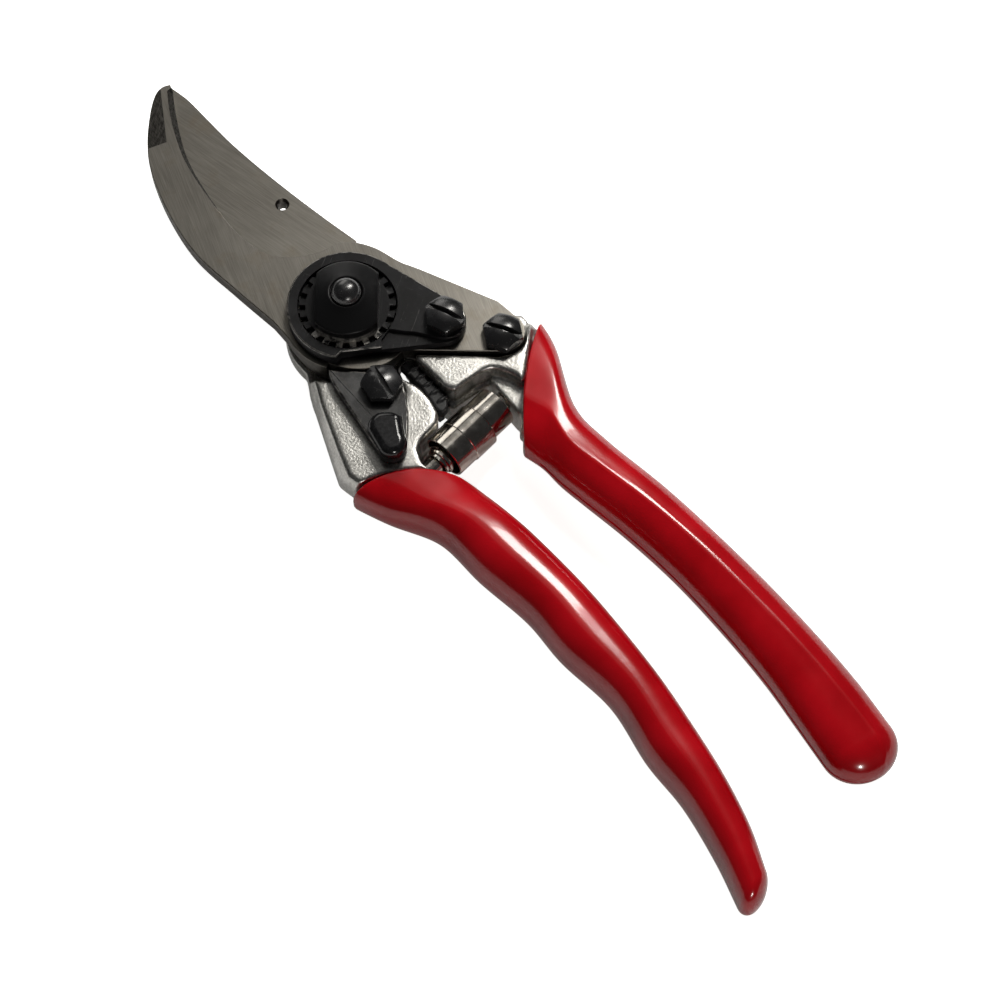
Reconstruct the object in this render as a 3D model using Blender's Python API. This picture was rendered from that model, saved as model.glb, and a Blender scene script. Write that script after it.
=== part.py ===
"""Bypass pruning shears, closed and latched, as an assembly of separate pieces.

The file works in millimetres and scales by MM when a mesh is made. The pivot bolt's
axis is Z, with z = 0 on the back face of its head, +Z towards the nut and +Y towards
the blade tips. The upper handle (+X) carries the hook blade and stays still. The lower
handle carries the cutting blade and the thumb catch, and opens clockwise seen from +Z.
"""

import math

import bmesh
import bpy
from mathutils import Vector

MM = 0.001
GAP = 0.3  # between pieces that touch
RUN = 0.6  # between pieces that pass each other as the handles open

# Thickness of each layer on the pivot bolt, from the back
BOLT_HEAD_T = 2.0
HEAD_T = 4.3
BLADE_T = 3.3
HOOK_T = 3.4
SEGMENT_T = 2.8
NUT_CAP_T = 3.0  # up to the rim of the nut's cap
CROWN_T = 2.4  # from the rim to the bolt's end
DOME_T = 1.9

Z_HEAD = BOLT_HEAD_T + GAP
Z_BLADE = Z_HEAD + HEAD_T + GAP
Z_HOOK = Z_BLADE + BLADE_T + GAP
Z_SEGMENT = Z_HOOK + HOOK_T + GAP
Z_NUT_CAP = Z_SEGMENT + SEGMENT_T
Z_DOME = Z_NUT_CAP + NUT_CAP_T + CROWN_T

# Pivot
BOLT_R = 4.0
BOLT_HEAD_R = 8.0
DOME_R = 3.1
HEAD_R = 13.3  # round head of the lower casting
HOOK_DISC_R = 13.3  # round middle of the hook blade
NOTCH_R = 12.2  # bottom of the latch notch in that disc
RAMP_R = 14.2  # where the ramp after the notch ends
BLADE_HEAD_R = 12.4  # round head of the cutting blade
BEVEL_W = 5.0  # ground bevel on the back of its edge
SAP_HOLE = (5.6, 30.5)
SAP_HOLE_R = 1.2

# Tension nut and lock segment
NUT_TEETH = 21
NUT_ROOT_R = 8.3
NUT_TIP_R = 9.7
NUT_CAP_R = 8.0
NUT_FLATS = 12.4
NUT_TURN = math.radians(-38.3)  # the way its flats face
SEGMENT_R = 12.2
SEGMENT_END = (12.8, -14.6)  # centre of its narrow end
SEGMENT_END_R = 4.7

# Screws: places, and the head across its flats
SEGMENT_SCREW = (13.3, -14.7)
HOOK_SCREW = (21.0, -23.6)
CATCH_SCREW = (-5.2, -18.1)
BLADE_PIN = (-5.5, -7.4)
SCREW_FLATS = 7.4
SCREW_HEAD_T = 3.0
SCREW_SHANK_R = 2.2
SLOT_W = 1.1
SLOT_T = 1.3
BLADE_PIN_R = 1.6
PIN_SEAT = 3.4  # bottom of its hole
SCREW_TIP = 4.5  # bottom of the screws

# Handles
BODY_Z = (1.4, 12.0)  # lower casting's raised body
LEDGE_Z = 8.3  # top of the upper casting's ledge in front of the spring
SHOULDER_Z = 10.1  # top of its wall behind the spring
BLOCK_Z = 13.4  # top of the upper casting's raised block
GRIP_WALL = 1.9
MOUTH_BULGE = 2.6  # how far the middle of the lower grip's mouth reaches forward
MOUTH_FADE = 0.12  # share of the grip over which that dies away
BAR_END = 0.82  # share of the grip that the casting's bar fills
BAR_ROOT = 0.02  # and how far it reaches back into the casting
RING = 20  # points round a handle
CATCH_T = 2.4
CATCH_TIP = (-11.1, -28.6)  # centre of the catch's round end
CATCH_TIP_R = 2.9
CATCH_WASHER_T = 0.6
CATCH_WASHER_R = 4.2
KNOB = (-11.3, -28.9)  # centre of the knob's round end
KNOB_R = 2.9
KNOB_T = 2.6

# Spring between the handles
SPRING_FROM = Vector((-3.4, -35.2, 7.5))
SPRING_TO = Vector((12.6, -32.9, 7.5))
SPRING_R = 4.9
SPRING_END_R = 4.0
SPRING_SIDE_GAP = 0.2  # from the spring's side to the ledge, measured at its upper end
POCKET_X = 14.0  # wall of the upper casting behind the spring
POCKET_Y = SPRING_TO.y + SPRING_R - SPRING_SIDE_GAP
PEG_R = 1.7
PEG_L = 6.0


# ---------------------------------------------------------------- outlines
def arc(centre, radius, start, end, steps):
    """Points on an arc from start to end, in degrees."""
    turns = [math.radians(start + (end - start) * i / steps) for i in range(steps + 1)]
    return [(centre[0] + radius * math.cos(a), centre[1] + radius * math.sin(a)) for a in turns]


def ramp(start_r, end_r, start, end, steps):
    """Points about the pivot whose radius changes evenly from start_r to end_r."""
    points = []
    for step in range(steps + 1):
        share = step / steps
        angle = math.radians(start + (end - start) * share)
        radius = start_r + (end_r - start_r) * share
        points.append((radius * math.cos(angle), radius * math.sin(angle)))
    return points


def circle(centre, radius, steps=32):
    return arc(centre, radius, 0, 360, steps)[:-1]


def smooth(points, steps):
    """A Catmull-Rom curve through the points, ends included."""
    knots = [Vector(p) for p in points]
    knots = [knots[0] * 2 - knots[1]] + knots + [knots[-1] * 2 - knots[-2]]
    curve = []
    for i in range(1, len(knots) - 2):
        before, start, end, after = knots[i - 1 : i + 3]
        for step in range(steps):
            t = step / steps
            point = start * 2 + (end - before) * t
            point += (before * 2 - start * 5 + end * 4 - after) * t**2
            point += (start * 3 - before - end * 3 + after) * t**3
            curve.append(tuple(point / 2))
    return curve + [tuple(knots[-2])]


def polygon_edge(centre, flats, sides, turn, steps_per_side=4):
    """Points round a regular polygon, evenly shared between its sides."""
    corner_r = flats / 2 / math.cos(math.pi / sides)
    corners = arc(centre, corner_r, turn, turn + 360, sides)
    points = []
    for a, b in zip(corners, corners[1:]):
        for step in range(steps_per_side):
            t = step / steps_per_side
            points.append((a[0] + (b[0] - a[0]) * t, a[1] + (b[1] - a[1]) * t))
    return points


def toothed_edge(root_r, tip_r, tooth_share):
    """A gear outline with one flat-topped tooth per pitch."""
    pitch = 360 / NUT_TEETH
    points = []
    for tooth in range(NUT_TEETH):
        middle = tooth * pitch
        points += arc((0, 0), root_r, middle - pitch * 0.5, middle - pitch * tooth_share / 2 - 2.0, 1)
        points += arc((0, 0), tip_r, middle - pitch * tooth_share / 2, middle + pitch * tooth_share / 2, 1)
        points += arc((0, 0), root_r, middle + pitch * tooth_share / 2 + 2.0, middle + pitch * 0.49, 1)
    return points


# ---------------------------------------------------------------- meshes
def material(name, colour, roughness, metallic):
    made = bpy.data.materials.new(name)
    made.use_nodes = True
    shader = made.node_tree.nodes["Principled BSDF"]
    shader.inputs["Base Color"].default_value = (*colour, 1)
    shader.inputs["Roughness"].default_value = roughness
    shader.inputs["Metallic"].default_value = metallic
    return made


def skin(name, loops, frame=None, finish=None):
    """One closed object through loops of points, which all have the same count."""
    origin = frame.location / MM if frame else Vector((0, 0, 0))
    mesh = bmesh.new()
    rings = [[mesh.verts.new((Vector(p) - origin) * MM) for p in loop] for loop in loops]
    for low, high in zip(rings, rings[1:]):
        for i, vert in enumerate(low):
            after = (i + 1) % len(low)
            mesh.faces.new((vert, low[after], high[after], high[i]))
    mesh.faces.new(rings[0][::-1])
    mesh.faces.new(rings[-1])
    bmesh.ops.recalc_face_normals(mesh, faces=mesh.faces)
    data = bpy.data.meshes.new(name)
    mesh.to_mesh(data)
    mesh.free()
    made = bpy.data.objects.new(name, data)
    bpy.context.scene.collection.objects.link(made)
    if frame:
        made.parent = frame
    if finish:
        data.materials.append(finish)
        data.shade_smooth()
        data.set_sharp_from_angle(angle=math.radians(30))
    return made


def at(outline, z):
    return [(x, y, z) for x, y in outline]


def plate(name, outline, low, high, frame=None, finish=None):
    return skin(name, [at(outline, low), at(outline, high)], frame, finish)


def turned(name, profile, centre, frame=None, finish=None, steps=32):
    """A solid of revolution about Z from (radius, z) pairs, bottom to top."""
    loops = [at(circle(centre, radius, steps), z) for radius, z in profile]
    return skin(name, loops, frame, finish)


def boolean(target, other, operation):
    """Cut other from target, or join it on, and keep other as a hidden guide."""
    other.hide_render = True
    other.display_type = "WIRE"
    step = target.modifiers.new(f"{operation.lower()} {other.name}", "BOOLEAN")
    step.operation = operation
    step.object = other
    step.solver = "EXACT"


def drill(target, centre, radius, low=-5, high=40):
    name = f"{target.name}_hole_{len(target.modifiers)}"
    boolean(target, plate(name, circle(centre, radius), low, high), "DIFFERENCE")


def hex_screw(name, centre, seat, slot_turn, frame, finish):
    """A hex head with a screwdriver slot on a plain shank."""
    steps = 24
    shank = circle(centre, SCREW_SHANK_R, steps)
    head = polygon_edge(centre, SCREW_FLATS, 6, slot_turn, steps // 6)
    crown = polygon_edge(centre, SCREW_FLATS - 1.6, 6, slot_turn, steps // 6)
    top = seat + SCREW_HEAD_T
    loops = [at(shank, SCREW_TIP), at(shank, seat), at(head, seat), at(head, top - 0.8), at(crown, top)]
    screw = skin(name, loops, frame, finish)
    along = Vector((math.cos(math.radians(slot_turn)), math.sin(math.radians(slot_turn))))
    across = Vector((-along.y, along.x)) * SLOT_W / 2
    reach = along * SCREW_FLATS
    middle = Vector(centre)
    corners = [middle - reach - across, middle + reach - across]
    corners += [middle + reach + across, middle - reach + across]
    slot = plate(f"{name}_slot", [tuple(c) for c in corners], top - SLOT_T, top + 5)
    boolean(screw, slot, "DIFFERENCE")
    return screw


# ---------------------------------------------------------------- handles
# Each station crosses a handle: its left and right points, and its lowest and highest z.
LOWER_STATIONS = [
    ((-23.6, -31.0), (-3.6, -42.6), 1.0, 13.4),
    ((-20.5, -38.6), (-1.9, -47.6), 0.8, 14.1),
    ((-15.0, -48.4), (-0.6, -54.8), 0.4, 14.5),
    ((-13.8, -60.2), (0.3, -62.0), 0.2, 14.6),
    ((-11.8, -72.3), (1.1, -74.5), 0.0, 14.6),
    ((-11.8, -83.0), (1.1, -85.0), 0.0, 14.5),
    ((-10.2, -96.0), (0.5, -97.5), 0.0, 14.3),
    ((-12.0, -109.0), (-0.7, -108.5), 0.0, 14.0),
    ((-12.2, -120.0), (-2.5, -120.3), 0.1, 13.6),
    ((-14.2, -131.8), (-5.1, -131.0), 0.4, 13.1),
    ((-16.6, -140.8), (-8.4, -139.4), 0.9, 12.6),
]
UPPER_STATIONS = [
    ((10.2, -43.4), (30.9, -23.3), 1.0, 13.4),
    ((11.2, -49.0), (29.6, -30.2), 0.8, 14.1),
    ((11.7, -54.0), (24.2, -43.0), 0.4, 14.5),
    ((12.9, -60.5), (24.4, -53.0), 0.2, 14.6),
    ((14.8, -71.0), (26.8, -67.5), 0.0, 14.6),
    ((16.2, -84.0), (28.3, -81.5), 0.0, 14.5),
    ((16.5, -98.0), (29.4, -97.0), 0.0, 14.3),
    ((16.1, -110.5), (29.8, -111.0), 0.0, 14.0),
    ((15.0, -121.0), (29.6, -122.5), 0.2, 13.5),
    ((13.9, -130.5), (28.7, -132.9), 0.7, 12.9),
]


def handle_loops(stations, inset, first, last, rings, closing, bulge=0):
    """Rings along a handle, drawn in by inset, from the share first to the share last."""
    rows = [(*left, *right, low, high) for left, right, low, high in stations]
    rails = [
        [Vector(row[0:2]).to_3d() for row in rows],
        [Vector(row[2:4]).to_3d() for row in rows],
        [Vector((row[4], row[5], 0)) for row in rows],
    ]
    fine = 12
    left, right, levels = [[Vector(p) for p in smooth(rail, fine)] for rail in rails]
    count = len(left) - 1
    loops = []
    for ring in range(rings + 1):
        share = first + (last - first) * ring / rings
        reach = bulge * max(0, 1 - share / MOUTH_FADE)
        loops.append(handle_ring(left, right, levels, share * count, inset, 1, reach))
    end = last * count
    along = (left[-1] + right[-1] - left[-4] - right[-4]).normalized()
    for step in range(1, closing + 1):
        angle = math.pi / 2 * step / (closing + 0.35)
        depth = (left[-1] - right[-1]).length / 2 - inset
        loop = handle_ring(left, right, levels, end, inset, math.cos(angle))
        push = along * depth * math.sin(angle)
        loops.append([tuple(Vector(p) + push) for p in loop])
    return loops


def handle_ring(left, right, levels, place, inset, scale, reach=0):
    """One superellipse across the handle; a place below 0 carries on past the mouth.
    The ring's middle is drawn towards the head by reach."""
    low = min(max(int(place), 0), len(left) - 2)
    share = place - low
    a, b, z = [rail[low] + (rail[low + 1] - rail[low]) * share for rail in (left, right, levels)]
    middle = (a + b) / 2
    half = (b - a).normalized() * ((b - a).length / 2 - inset) * scale
    half_z = ((z.y - z.x) / 2 - inset) * scale
    ring = []
    for step in range(RING):
        angle = math.tau * step / RING
        across = math.copysign(abs(math.cos(angle)) ** 0.85, math.cos(angle))
        up = math.copysign(abs(math.sin(angle)) ** 0.85, math.sin(angle))
        point = middle + half * across + forward(a, b) * reach * (1 - across**2)
        ring.append((point.x, point.y, (z.x + z.y) / 2 + half_z * up))
    return ring


def forward(left, right):
    """The way along a handle towards the head, square to the line from left to right."""
    side = (right - left).normalized()
    return Vector((-side.y, side.x, 0))


def grip(name, stations, frame, finish, bulge=0):
    made = skin(name, handle_loops(stations, 0, 0, 1, 26, 5, bulge), frame, finish)
    socket = handle_loops(stations, GRIP_WALL - GAP, -0.08, BAR_END + 0.005, 20, 0)
    boolean(made, skin(f"{name}_socket", socket), "DIFFERENCE")
    return made


def bar(name, stations):
    return skin(name, handle_loops(stations, GRIP_WALL, -BAR_ROOT, BAR_END, 20, 0))


# ---------------------------------------------------------------- pieces
def hook_outline():
    outer = [(3.4, 66.8), (1.6, 67.3), (-0.7, 66.5), (-4.2, 63.4), (-8.8, 57.8), (-12.3, 51.2)]
    outer = smooth(outer + [(-15.1, 41.2), (-16.3, 30.1), (-14.9, 18.5), (-13.2, 7.5)], 4)
    disc = arc((0, 0), HOOK_DISC_R, 170, 214, 8)
    notch = ramp(NOTCH_R, RAMP_R, 214.5, 266, 10)
    under = arc((0, 0), RAMP_R, 272, 284, 3)
    arm_end = arc((21.6, -22.8), 4.5, 235, 380, 10)
    upper = [(25.2, -16.8), (17.6, -1.6)]
    heel = smooth([(15.2, 2.9), (13.3, 8.4), (10.6, 12.3), (7.4, 14.2), (3.8, 14.7)], 3)
    inner = [(0.9, 15.9), (-2.5, 18.2), (-5.2, 21.8), (-6.7, 29.6), (-6.2, 39.1), (-4.2, 50.0)]
    inner = smooth(inner + [(-0.1, 59.8), (3.0, 65.4)], 4)
    return outer + disc + notch + under + arm_end + upper + heel + inner


def cutting_blade(frame, finish):
    """Flat on the hook's side; the edge's bevel is on the back."""
    spine = [(12.4, 14.2), (10.7, 21.7), (9.2, 29.0), (7.9, 36.2), (6.8, 43.3), (6.0, 50.1), (5.6, 57.0)]
    spine += [(5.2, 63.6), (4.2, 68.4)]
    edge = smooth([(3.4, 67.8), (-2.4, 59.8), (-7.2, 49.0), (-9.2, 38.5), (-9.3, 28.5), (-7.9, 19.5)], 5)
    last = len(edge) - 1
    ground = [(x + BEVEL_W * math.sin(math.pi * i / last) ** 0.5, y) for i, (x, y) in enumerate(edge)]
    head = arc((0, 0), BLADE_HEAD_R, 135, 397, 28)
    front = edge + head + spine
    back = ground + head + spine
    blade = skin("cutting_blade", [at(back, Z_BLADE), at(front, Z_BLADE + BLADE_T)], frame, finish)
    drill(blade, (0, 0), BOLT_R + GAP)
    drill(blade, SAP_HOLE, SAP_HOLE_R)
    drill(blade, BLADE_PIN, BLADE_PIN_R + GAP)
    return blade


def lower_casting(frame, finish):
    """Round head, raised body and the bar inside the grip."""
    low, high = BODY_Z
    left, right_end = [Vector(p).to_3d() for p in LOWER_STATIONS[0][:2]]
    mouth = []
    for share in (0.9, 0.78, 0.64, 0.5, 0.36, 0.22, 0.1):
        reach = MOUTH_BULGE * (1 - (2 * share - 1) ** 2) + GAP
        mouth.append(tuple(left.lerp(right_end, share) + forward(left, right_end) * reach)[:2])
    mouth_right = [(-8.3, -35.4), (-7.8, -37.4)] + mouth
    pocket = smooth([(0.9, -28.3), (-0.9, -30.1), (-4.9, -31.0), (-7.2, -32.3)], 3)
    right = smooth([(-0.3, -17.3), (1.3, -20.9), (1.6, -24.8)], 3) + pocket + mouth_right
    left_low = [(-23.4, -30.6), (-22.1, -25.6), (-20.5, -21.2), (-17.2, -12.4), (-14.6, -5.4)]
    left_high = [(-21.9, -30.2), (-20.6, -25.9), (-19.0, -20.7), (-16.0, -11.8), (-14.1, -7.4)]
    collar = arc((0, 0), RAMP_R + RUN, 219, 258, 8)
    body = skin("lower_casting", [at(left_low + collar + right, low), at(left_low + collar + right, 8.4),
                                  at(left_high + collar + right, high)], frame, finish)
    neck = arc((0, 0), HEAD_R, 280, 551, 34) + [(-15.8, -8.2), (-17.0, -13.5), (-5.0, -22.0), (0.6, -19.5)]
    boolean(body, plate("lower_head", neck, Z_HEAD, Z_HEAD + HEAD_T), "UNION")
    boolean(body, bar("lower_bar", LOWER_STATIONS), "UNION")
    drill(body, (0, 0), BOLT_R + GAP)
    drill(body, CATCH_SCREW, SCREW_SHANK_R + GAP, 4)
    drill(body, CATCH_SCREW, CATCH_WASHER_R + GAP, high - CATCH_WASHER_T - GAP)
    drill(body, BLADE_PIN, BLADE_PIN_R + GAP, PIN_SEAT)
    peg_hole(body, SPRING_FROM)
    return body


def upper_casting(frame, finish):
    """Arm under the hook blade, ledge by the spring, raised block and the grip's bar."""
    collar = arc((0, 0), max(HEAD_R, BLADE_HEAD_R) + RUN, 284, 352, 10)
    outside = smooth([(16.6, -3.4), (20.5, -10.5), (24.6, -17.4), (28.4, -20.6)], 3)
    mouth = [(29.6, -22.9), (12.6, -40.1)]
    pocket = [(POCKET_X, -38.0), (POCKET_X, POCKET_Y)]
    ledge = [(4.8, POCKET_Y + SPRING_SIDE_GAP), (4.0, -26.0)]
    base = collar + outside + mouth + pocket + ledge
    body = plate("upper_casting", base, BODY_Z[0], LEDGE_Z, frame, finish)
    arm = collar + outside + [(28.2, -24.0), (18.0, -26.0), (5.2, -15.8)]
    boolean(body, plate("upper_arm", arm, LEDGE_Z - 1, Z_HOOK - GAP), "UNION")
    shoulder = [(POCKET_X, POCKET_Y), (POCKET_X, -38.0)] + mouth[::-1]
    boolean(body, plate("upper_shoulder", shoulder, LEDGE_Z - 1.5, SHOULDER_Z), "UNION")
    top = [(4.9, -15.6), (17.9, -26.5)] + arc((21.6, -22.8), 4.9, 235, 330, 8) + [(28.4, -23.4)]
    top += smooth([(27.4, -24.9), (18.8, -33.5), (17.6, -31.4), (15.4, -28.0), (13.2, -27.0)], 3)
    top += [(6.2, -27.0), (5.0, -25.4), (4.3, -16.6)]
    boolean(body, plate("upper_block", top, LEDGE_Z - 2, BLOCK_Z), "UNION")
    boolean(body, bar("upper_bar", UPPER_STATIONS), "UNION")
    for place in (SEGMENT_SCREW, HOOK_SCREW):
        drill(body, place, SCREW_SHANK_R + GAP, 4)
    peg_hole(body, SPRING_TO)
    return body


def spring_axis():
    return (SPRING_TO - SPRING_FROM).normalized()


def along_spring(name, profile, start, frame=None, finish=None, steps=20):
    """A solid of revolution about the spring's axis from (distance, radius) pairs."""
    axis = spring_axis()
    side = Vector((0, 0, 1)).cross(axis)
    loops = []
    for distance, radius in profile:
        middle = start + axis * distance
        loops.append([])
        for step in range(steps):
            angle = math.tau * step / steps
            raised = Vector((0, 0, radius * math.sin(angle)))
            loops[-1].append(middle + side * radius * math.cos(angle) + raised)
    return skin(name, loops, frame, finish)


def peg_hole(body, end):
    name = f"{body.name}_peg_hole"
    reach = PEG_L + GAP
    boolean(body, along_spring(name, [(-reach, PEG_R + GAP), (reach, PEG_R + GAP)], end), "DIFFERENCE")


def spring_and_pegs(lower, upper, nickel):
    """The volute's outer shape, and the peg at each end that holds it."""
    length = (SPRING_TO - SPRING_FROM).length
    barrel = [(0, SPRING_END_R), (length * 0.3, SPRING_END_R), (length * 0.32, SPRING_R)]
    barrel += [(length * 0.68, SPRING_R), (length * 0.7, SPRING_END_R), (length, SPRING_END_R)]
    along_spring("volute_spring", barrel, SPRING_FROM, upper, nickel)
    for name, end, sign, frame in (
        ("lower_spring_peg", SPRING_FROM, -1, lower),
        ("upper_spring_peg", SPRING_TO, 1, upper),
    ):
        spans = sorted((sign * GAP, sign * (PEG_L + GAP)))
        along_spring(name, [(spans[0], PEG_R), (spans[1], PEG_R)], end, frame, nickel, 16)


def hook_blade(frame, finish):
    blade = plate("hook_blade", hook_outline(), Z_HOOK, Z_HOOK + HOOK_T, frame, finish)
    drill(blade, (0, 0), BOLT_R + GAP)
    for place in (SEGMENT_SCREW, HOOK_SCREW):
        drill(blade, place, SCREW_SHANK_R + GAP)
    return blade


def center_bolt(frame, finish):
    shank_top = Z_DOME
    profile = [(BOLT_HEAD_R - 0.6, 0), (BOLT_HEAD_R, 0.6), (BOLT_HEAD_R, BOLT_HEAD_T), (BOLT_R, BOLT_HEAD_T)]
    profile += [(BOLT_R, Z_NUT_CAP), (DOME_R, Z_NUT_CAP + 0.01), (DOME_R, shank_top)]
    profile += [(DOME_R * 0.86, shank_top + DOME_T * 0.45), (DOME_R * 0.5, shank_top + DOME_T * 0.85)]
    profile += [(DOME_R * 0.1, shank_top + DOME_T)]
    return turned("center_bolt", profile, (0, 0), frame, finish)


def tension_nut(frame, finish):
    """Toothed ring under a round cap with two flats, over the bolt."""
    teeth = toothed_edge(NUT_ROOT_R, NUT_TIP_R, 0.42)
    nut = plate("tension_nut", teeth, Z_SEGMENT, Z_SEGMENT + SEGMENT_T - 0.4, frame, finish)
    rim = Z_NUT_CAP + NUT_CAP_T
    cap = [(NUT_CAP_R, Z_SEGMENT + 0.5), (NUT_CAP_R, rim - 0.6), (NUT_CAP_R - 0.5, rim)]
    cap += [(NUT_CAP_R - 2.0, rim + CROWN_T * 0.55), (DOME_R + 1.0, Z_DOME - 0.2)]
    boolean(nut, turned("nut_cap", cap, (0, 0)), "UNION")
    for side in (-1, 1):
        across = Vector((math.cos(NUT_TURN), math.sin(NUT_TURN)))
        along = Vector((-across.y, across.x)) * 12
        near, far = across * side * NUT_FLATS / 2, across * side * 20
        corners = [near - along, near + along, far + along, far - along]
        flat = plate(f"nut_flat_{side + 1}", [tuple(c) for c in corners[::side]], Z_NUT_CAP - 0.4, 40)
        boolean(nut, flat, "DIFFERENCE")
    drill(nut, (0, 0), DOME_R + GAP, Z_NUT_CAP - 0.3)
    drill(nut, (0, 0), BOLT_R + GAP, -5, Z_NUT_CAP + 0.3)
    return nut


def lock_segment(frame, finish):
    """A plate round the nut, toothed inside, that narrows to its screw."""
    round_part = arc((0, 0), SEGMENT_R, 20, 213, 24)
    end = arc(SEGMENT_END, SEGMENT_END_R, 235, 385, 12)
    outline = round_part + [(-9.2, -7.7), (-7.6, -7.5)] + end
    segment = plate("lock_segment", outline, Z_SEGMENT, Z_SEGMENT + SEGMENT_T, frame, finish)
    hole = toothed_edge(NUT_ROOT_R + GAP, NUT_TIP_R + GAP, 0.42 + 0.2)
    boolean(segment, plate("segment_teeth", hole, -5, 40), "DIFFERENCE")
    drill(segment, SEGMENT_SCREW, SCREW_SHANK_R + GAP)
    return segment


def thumb_catch(frame, steel, black):
    """Latch plate, its knob and the washer under it."""
    seat = BODY_Z[1] + GAP
    nose = [(-11.7, -9.4), (-12.3, -11.5), (-13.8, -27.4)]
    tip = arc(CATCH_TIP, CATCH_TIP_R, 175, 330, 8)
    side = smooth([(-6.6, -28.2), (-4.3, -25.5), (-2.3, -22.0), (-1.0, -18.6), (-1.4, -15.0)], 3)
    hollow = arc((0, 0), RAMP_R + RUN, 262, 250, 3) + arc((0, 0), HOOK_DISC_R + RUN, 238, 217, 5)
    outline = nose + tip + side + hollow
    catch = plate("thumb_catch", outline[::-1], seat, seat + CATCH_T, frame, steel)
    drill(catch, CATCH_SCREW, SCREW_SHANK_R + GAP)
    low = [(-12.8, -23.2), (-9.6, -23.4), (-6.9, -25.8)] + arc(KNOB, KNOB_R, -20, -175, 7)
    high = [(-12.4, -23.8), (-9.8, -24.0), (-7.6, -26.2)] + arc(KNOB, KNOB_R - 0.6, -20, -175, 7)
    top = seat + CATCH_T
    skin("catch_knob", [at(low, top + GAP), at(low, top + 1.2), at(high, top + KNOB_T)], frame, black)
    washer_z = BODY_Z[1] - CATCH_WASHER_T
    edge = [(CATCH_WASHER_R, washer_z), (CATCH_WASHER_R, BODY_Z[1])]
    washer = turned("catch_washer", edge, CATCH_SCREW, frame, steel)
    drill(washer, CATCH_SCREW, SCREW_SHANK_R + GAP)
    return catch


def cushion(frame, finish):
    """Rubber stop that closes the gap between the castings."""
    outline = [(2.0, -17.2), (3.2, -17.0), (3.6, -25.6), (3.3, -27.4), (2.0, -27.2), (2.0, -21.0)]
    plate("shock_cushion", outline, 4.0, 11.4, frame, finish)


# ---------------------------------------------------------------- assembly
def empty(name, place, parent=None):
    made = bpy.data.objects.new(name, None)
    bpy.context.scene.collection.objects.link(made)
    made.location = Vector(place) * MM
    made.parent = parent
    return made


def main():
    for old in list(bpy.data.objects):
        bpy.data.objects.remove(old, do_unlink=True)

    alloy = material("cast_alloy", (0.72, 0.72, 0.70), 0.38, 1)
    hook_steel = material("hook_steel", (0.40, 0.38, 0.35), 0.36, 1)
    blade_steel = material("blade_steel", (0.42, 0.40, 0.37), 0.34, 1)
    black_steel = material("black_steel", (0.03, 0.03, 0.032), 0.32, 0.8)
    nickel = material("nickel", (0.62, 0.58, 0.54), 0.16, 1)
    rubber = material("black_rubber", (0.012, 0.012, 0.012), 0.45, 0)
    red = material("red_coating", (0.55, 0.006, 0.01), 0.2, 0)
    black = material("black_plastic", (0.01, 0.01, 0.011), 0.15, 0)

    upper = empty("upper_handle_frame", (0, 0, 0))
    lower = empty("lower_handle_pivot", (0, 0, 0))
    catch = empty("thumb_catch_pivot", (*CATCH_SCREW, 0), lower)

    hook_blade(upper, hook_steel)
    upper_casting(upper, alloy)
    grip("upper_grip", UPPER_STATIONS, upper, red)
    center_bolt(upper, black_steel)
    tension_nut(upper, black_steel)
    lock_segment(upper, black_steel)
    hex_screw("segment_screw", SEGMENT_SCREW, Z_SEGMENT + SEGMENT_T + GAP, -65, upper, black_steel)
    hex_screw("hook_blade_screw", HOOK_SCREW, Z_HOOK + HOOK_T + GAP, -58, upper, black_steel)

    cutting_blade(lower, blade_steel)
    lower_casting(lower, alloy)
    grip("lower_grip", LOWER_STATIONS, lower, red, MOUTH_BULGE)
    pin = [(BLADE_PIN_R, PIN_SEAT + GAP), (BLADE_PIN_R, Z_HOOK - GAP)]
    turned("blade_pin", pin, BLADE_PIN, lower, black_steel, 16)
    cushion(lower, rubber)
    spring_and_pegs(lower, upper, nickel)

    thumb_catch(catch, black_steel, black)
    catch_top = BODY_Z[1] + GAP + CATCH_T
    hex_screw("catch_screw", CATCH_SCREW, catch_top + GAP, -95.5, lower, black_steel)


main()
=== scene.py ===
# %% [markdown]
# # Bypass pruning shears
# This file dresses a pair of pruning shears whose solid parts are already placed. The tool
# lies flat with its blades closed: +Z runs up the pivot bolt, +Y towards the blade tips and
# +X towards the handle that carries the hook blade. Every cell makes one piece or one
# finish, and prints what it made.

import math

import bmesh
import bpy
import numpy as np
from mathutils import Matrix, Vector


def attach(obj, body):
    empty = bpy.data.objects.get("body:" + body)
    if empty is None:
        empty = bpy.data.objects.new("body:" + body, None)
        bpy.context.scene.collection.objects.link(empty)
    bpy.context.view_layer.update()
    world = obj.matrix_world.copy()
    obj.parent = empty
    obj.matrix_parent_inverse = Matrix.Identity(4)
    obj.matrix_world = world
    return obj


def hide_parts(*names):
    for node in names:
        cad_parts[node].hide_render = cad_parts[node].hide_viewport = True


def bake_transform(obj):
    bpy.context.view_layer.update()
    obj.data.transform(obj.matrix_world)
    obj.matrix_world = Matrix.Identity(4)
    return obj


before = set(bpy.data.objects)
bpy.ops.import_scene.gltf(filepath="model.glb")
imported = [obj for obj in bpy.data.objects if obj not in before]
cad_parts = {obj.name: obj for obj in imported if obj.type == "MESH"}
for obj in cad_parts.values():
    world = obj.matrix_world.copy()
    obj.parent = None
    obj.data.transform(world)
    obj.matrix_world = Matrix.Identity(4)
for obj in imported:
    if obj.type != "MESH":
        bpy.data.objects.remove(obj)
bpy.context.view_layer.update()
MM = 0.001
UPPER, LOWER, CATCH = "upper_handle", "lower_handle", "thumb_catch"

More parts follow.
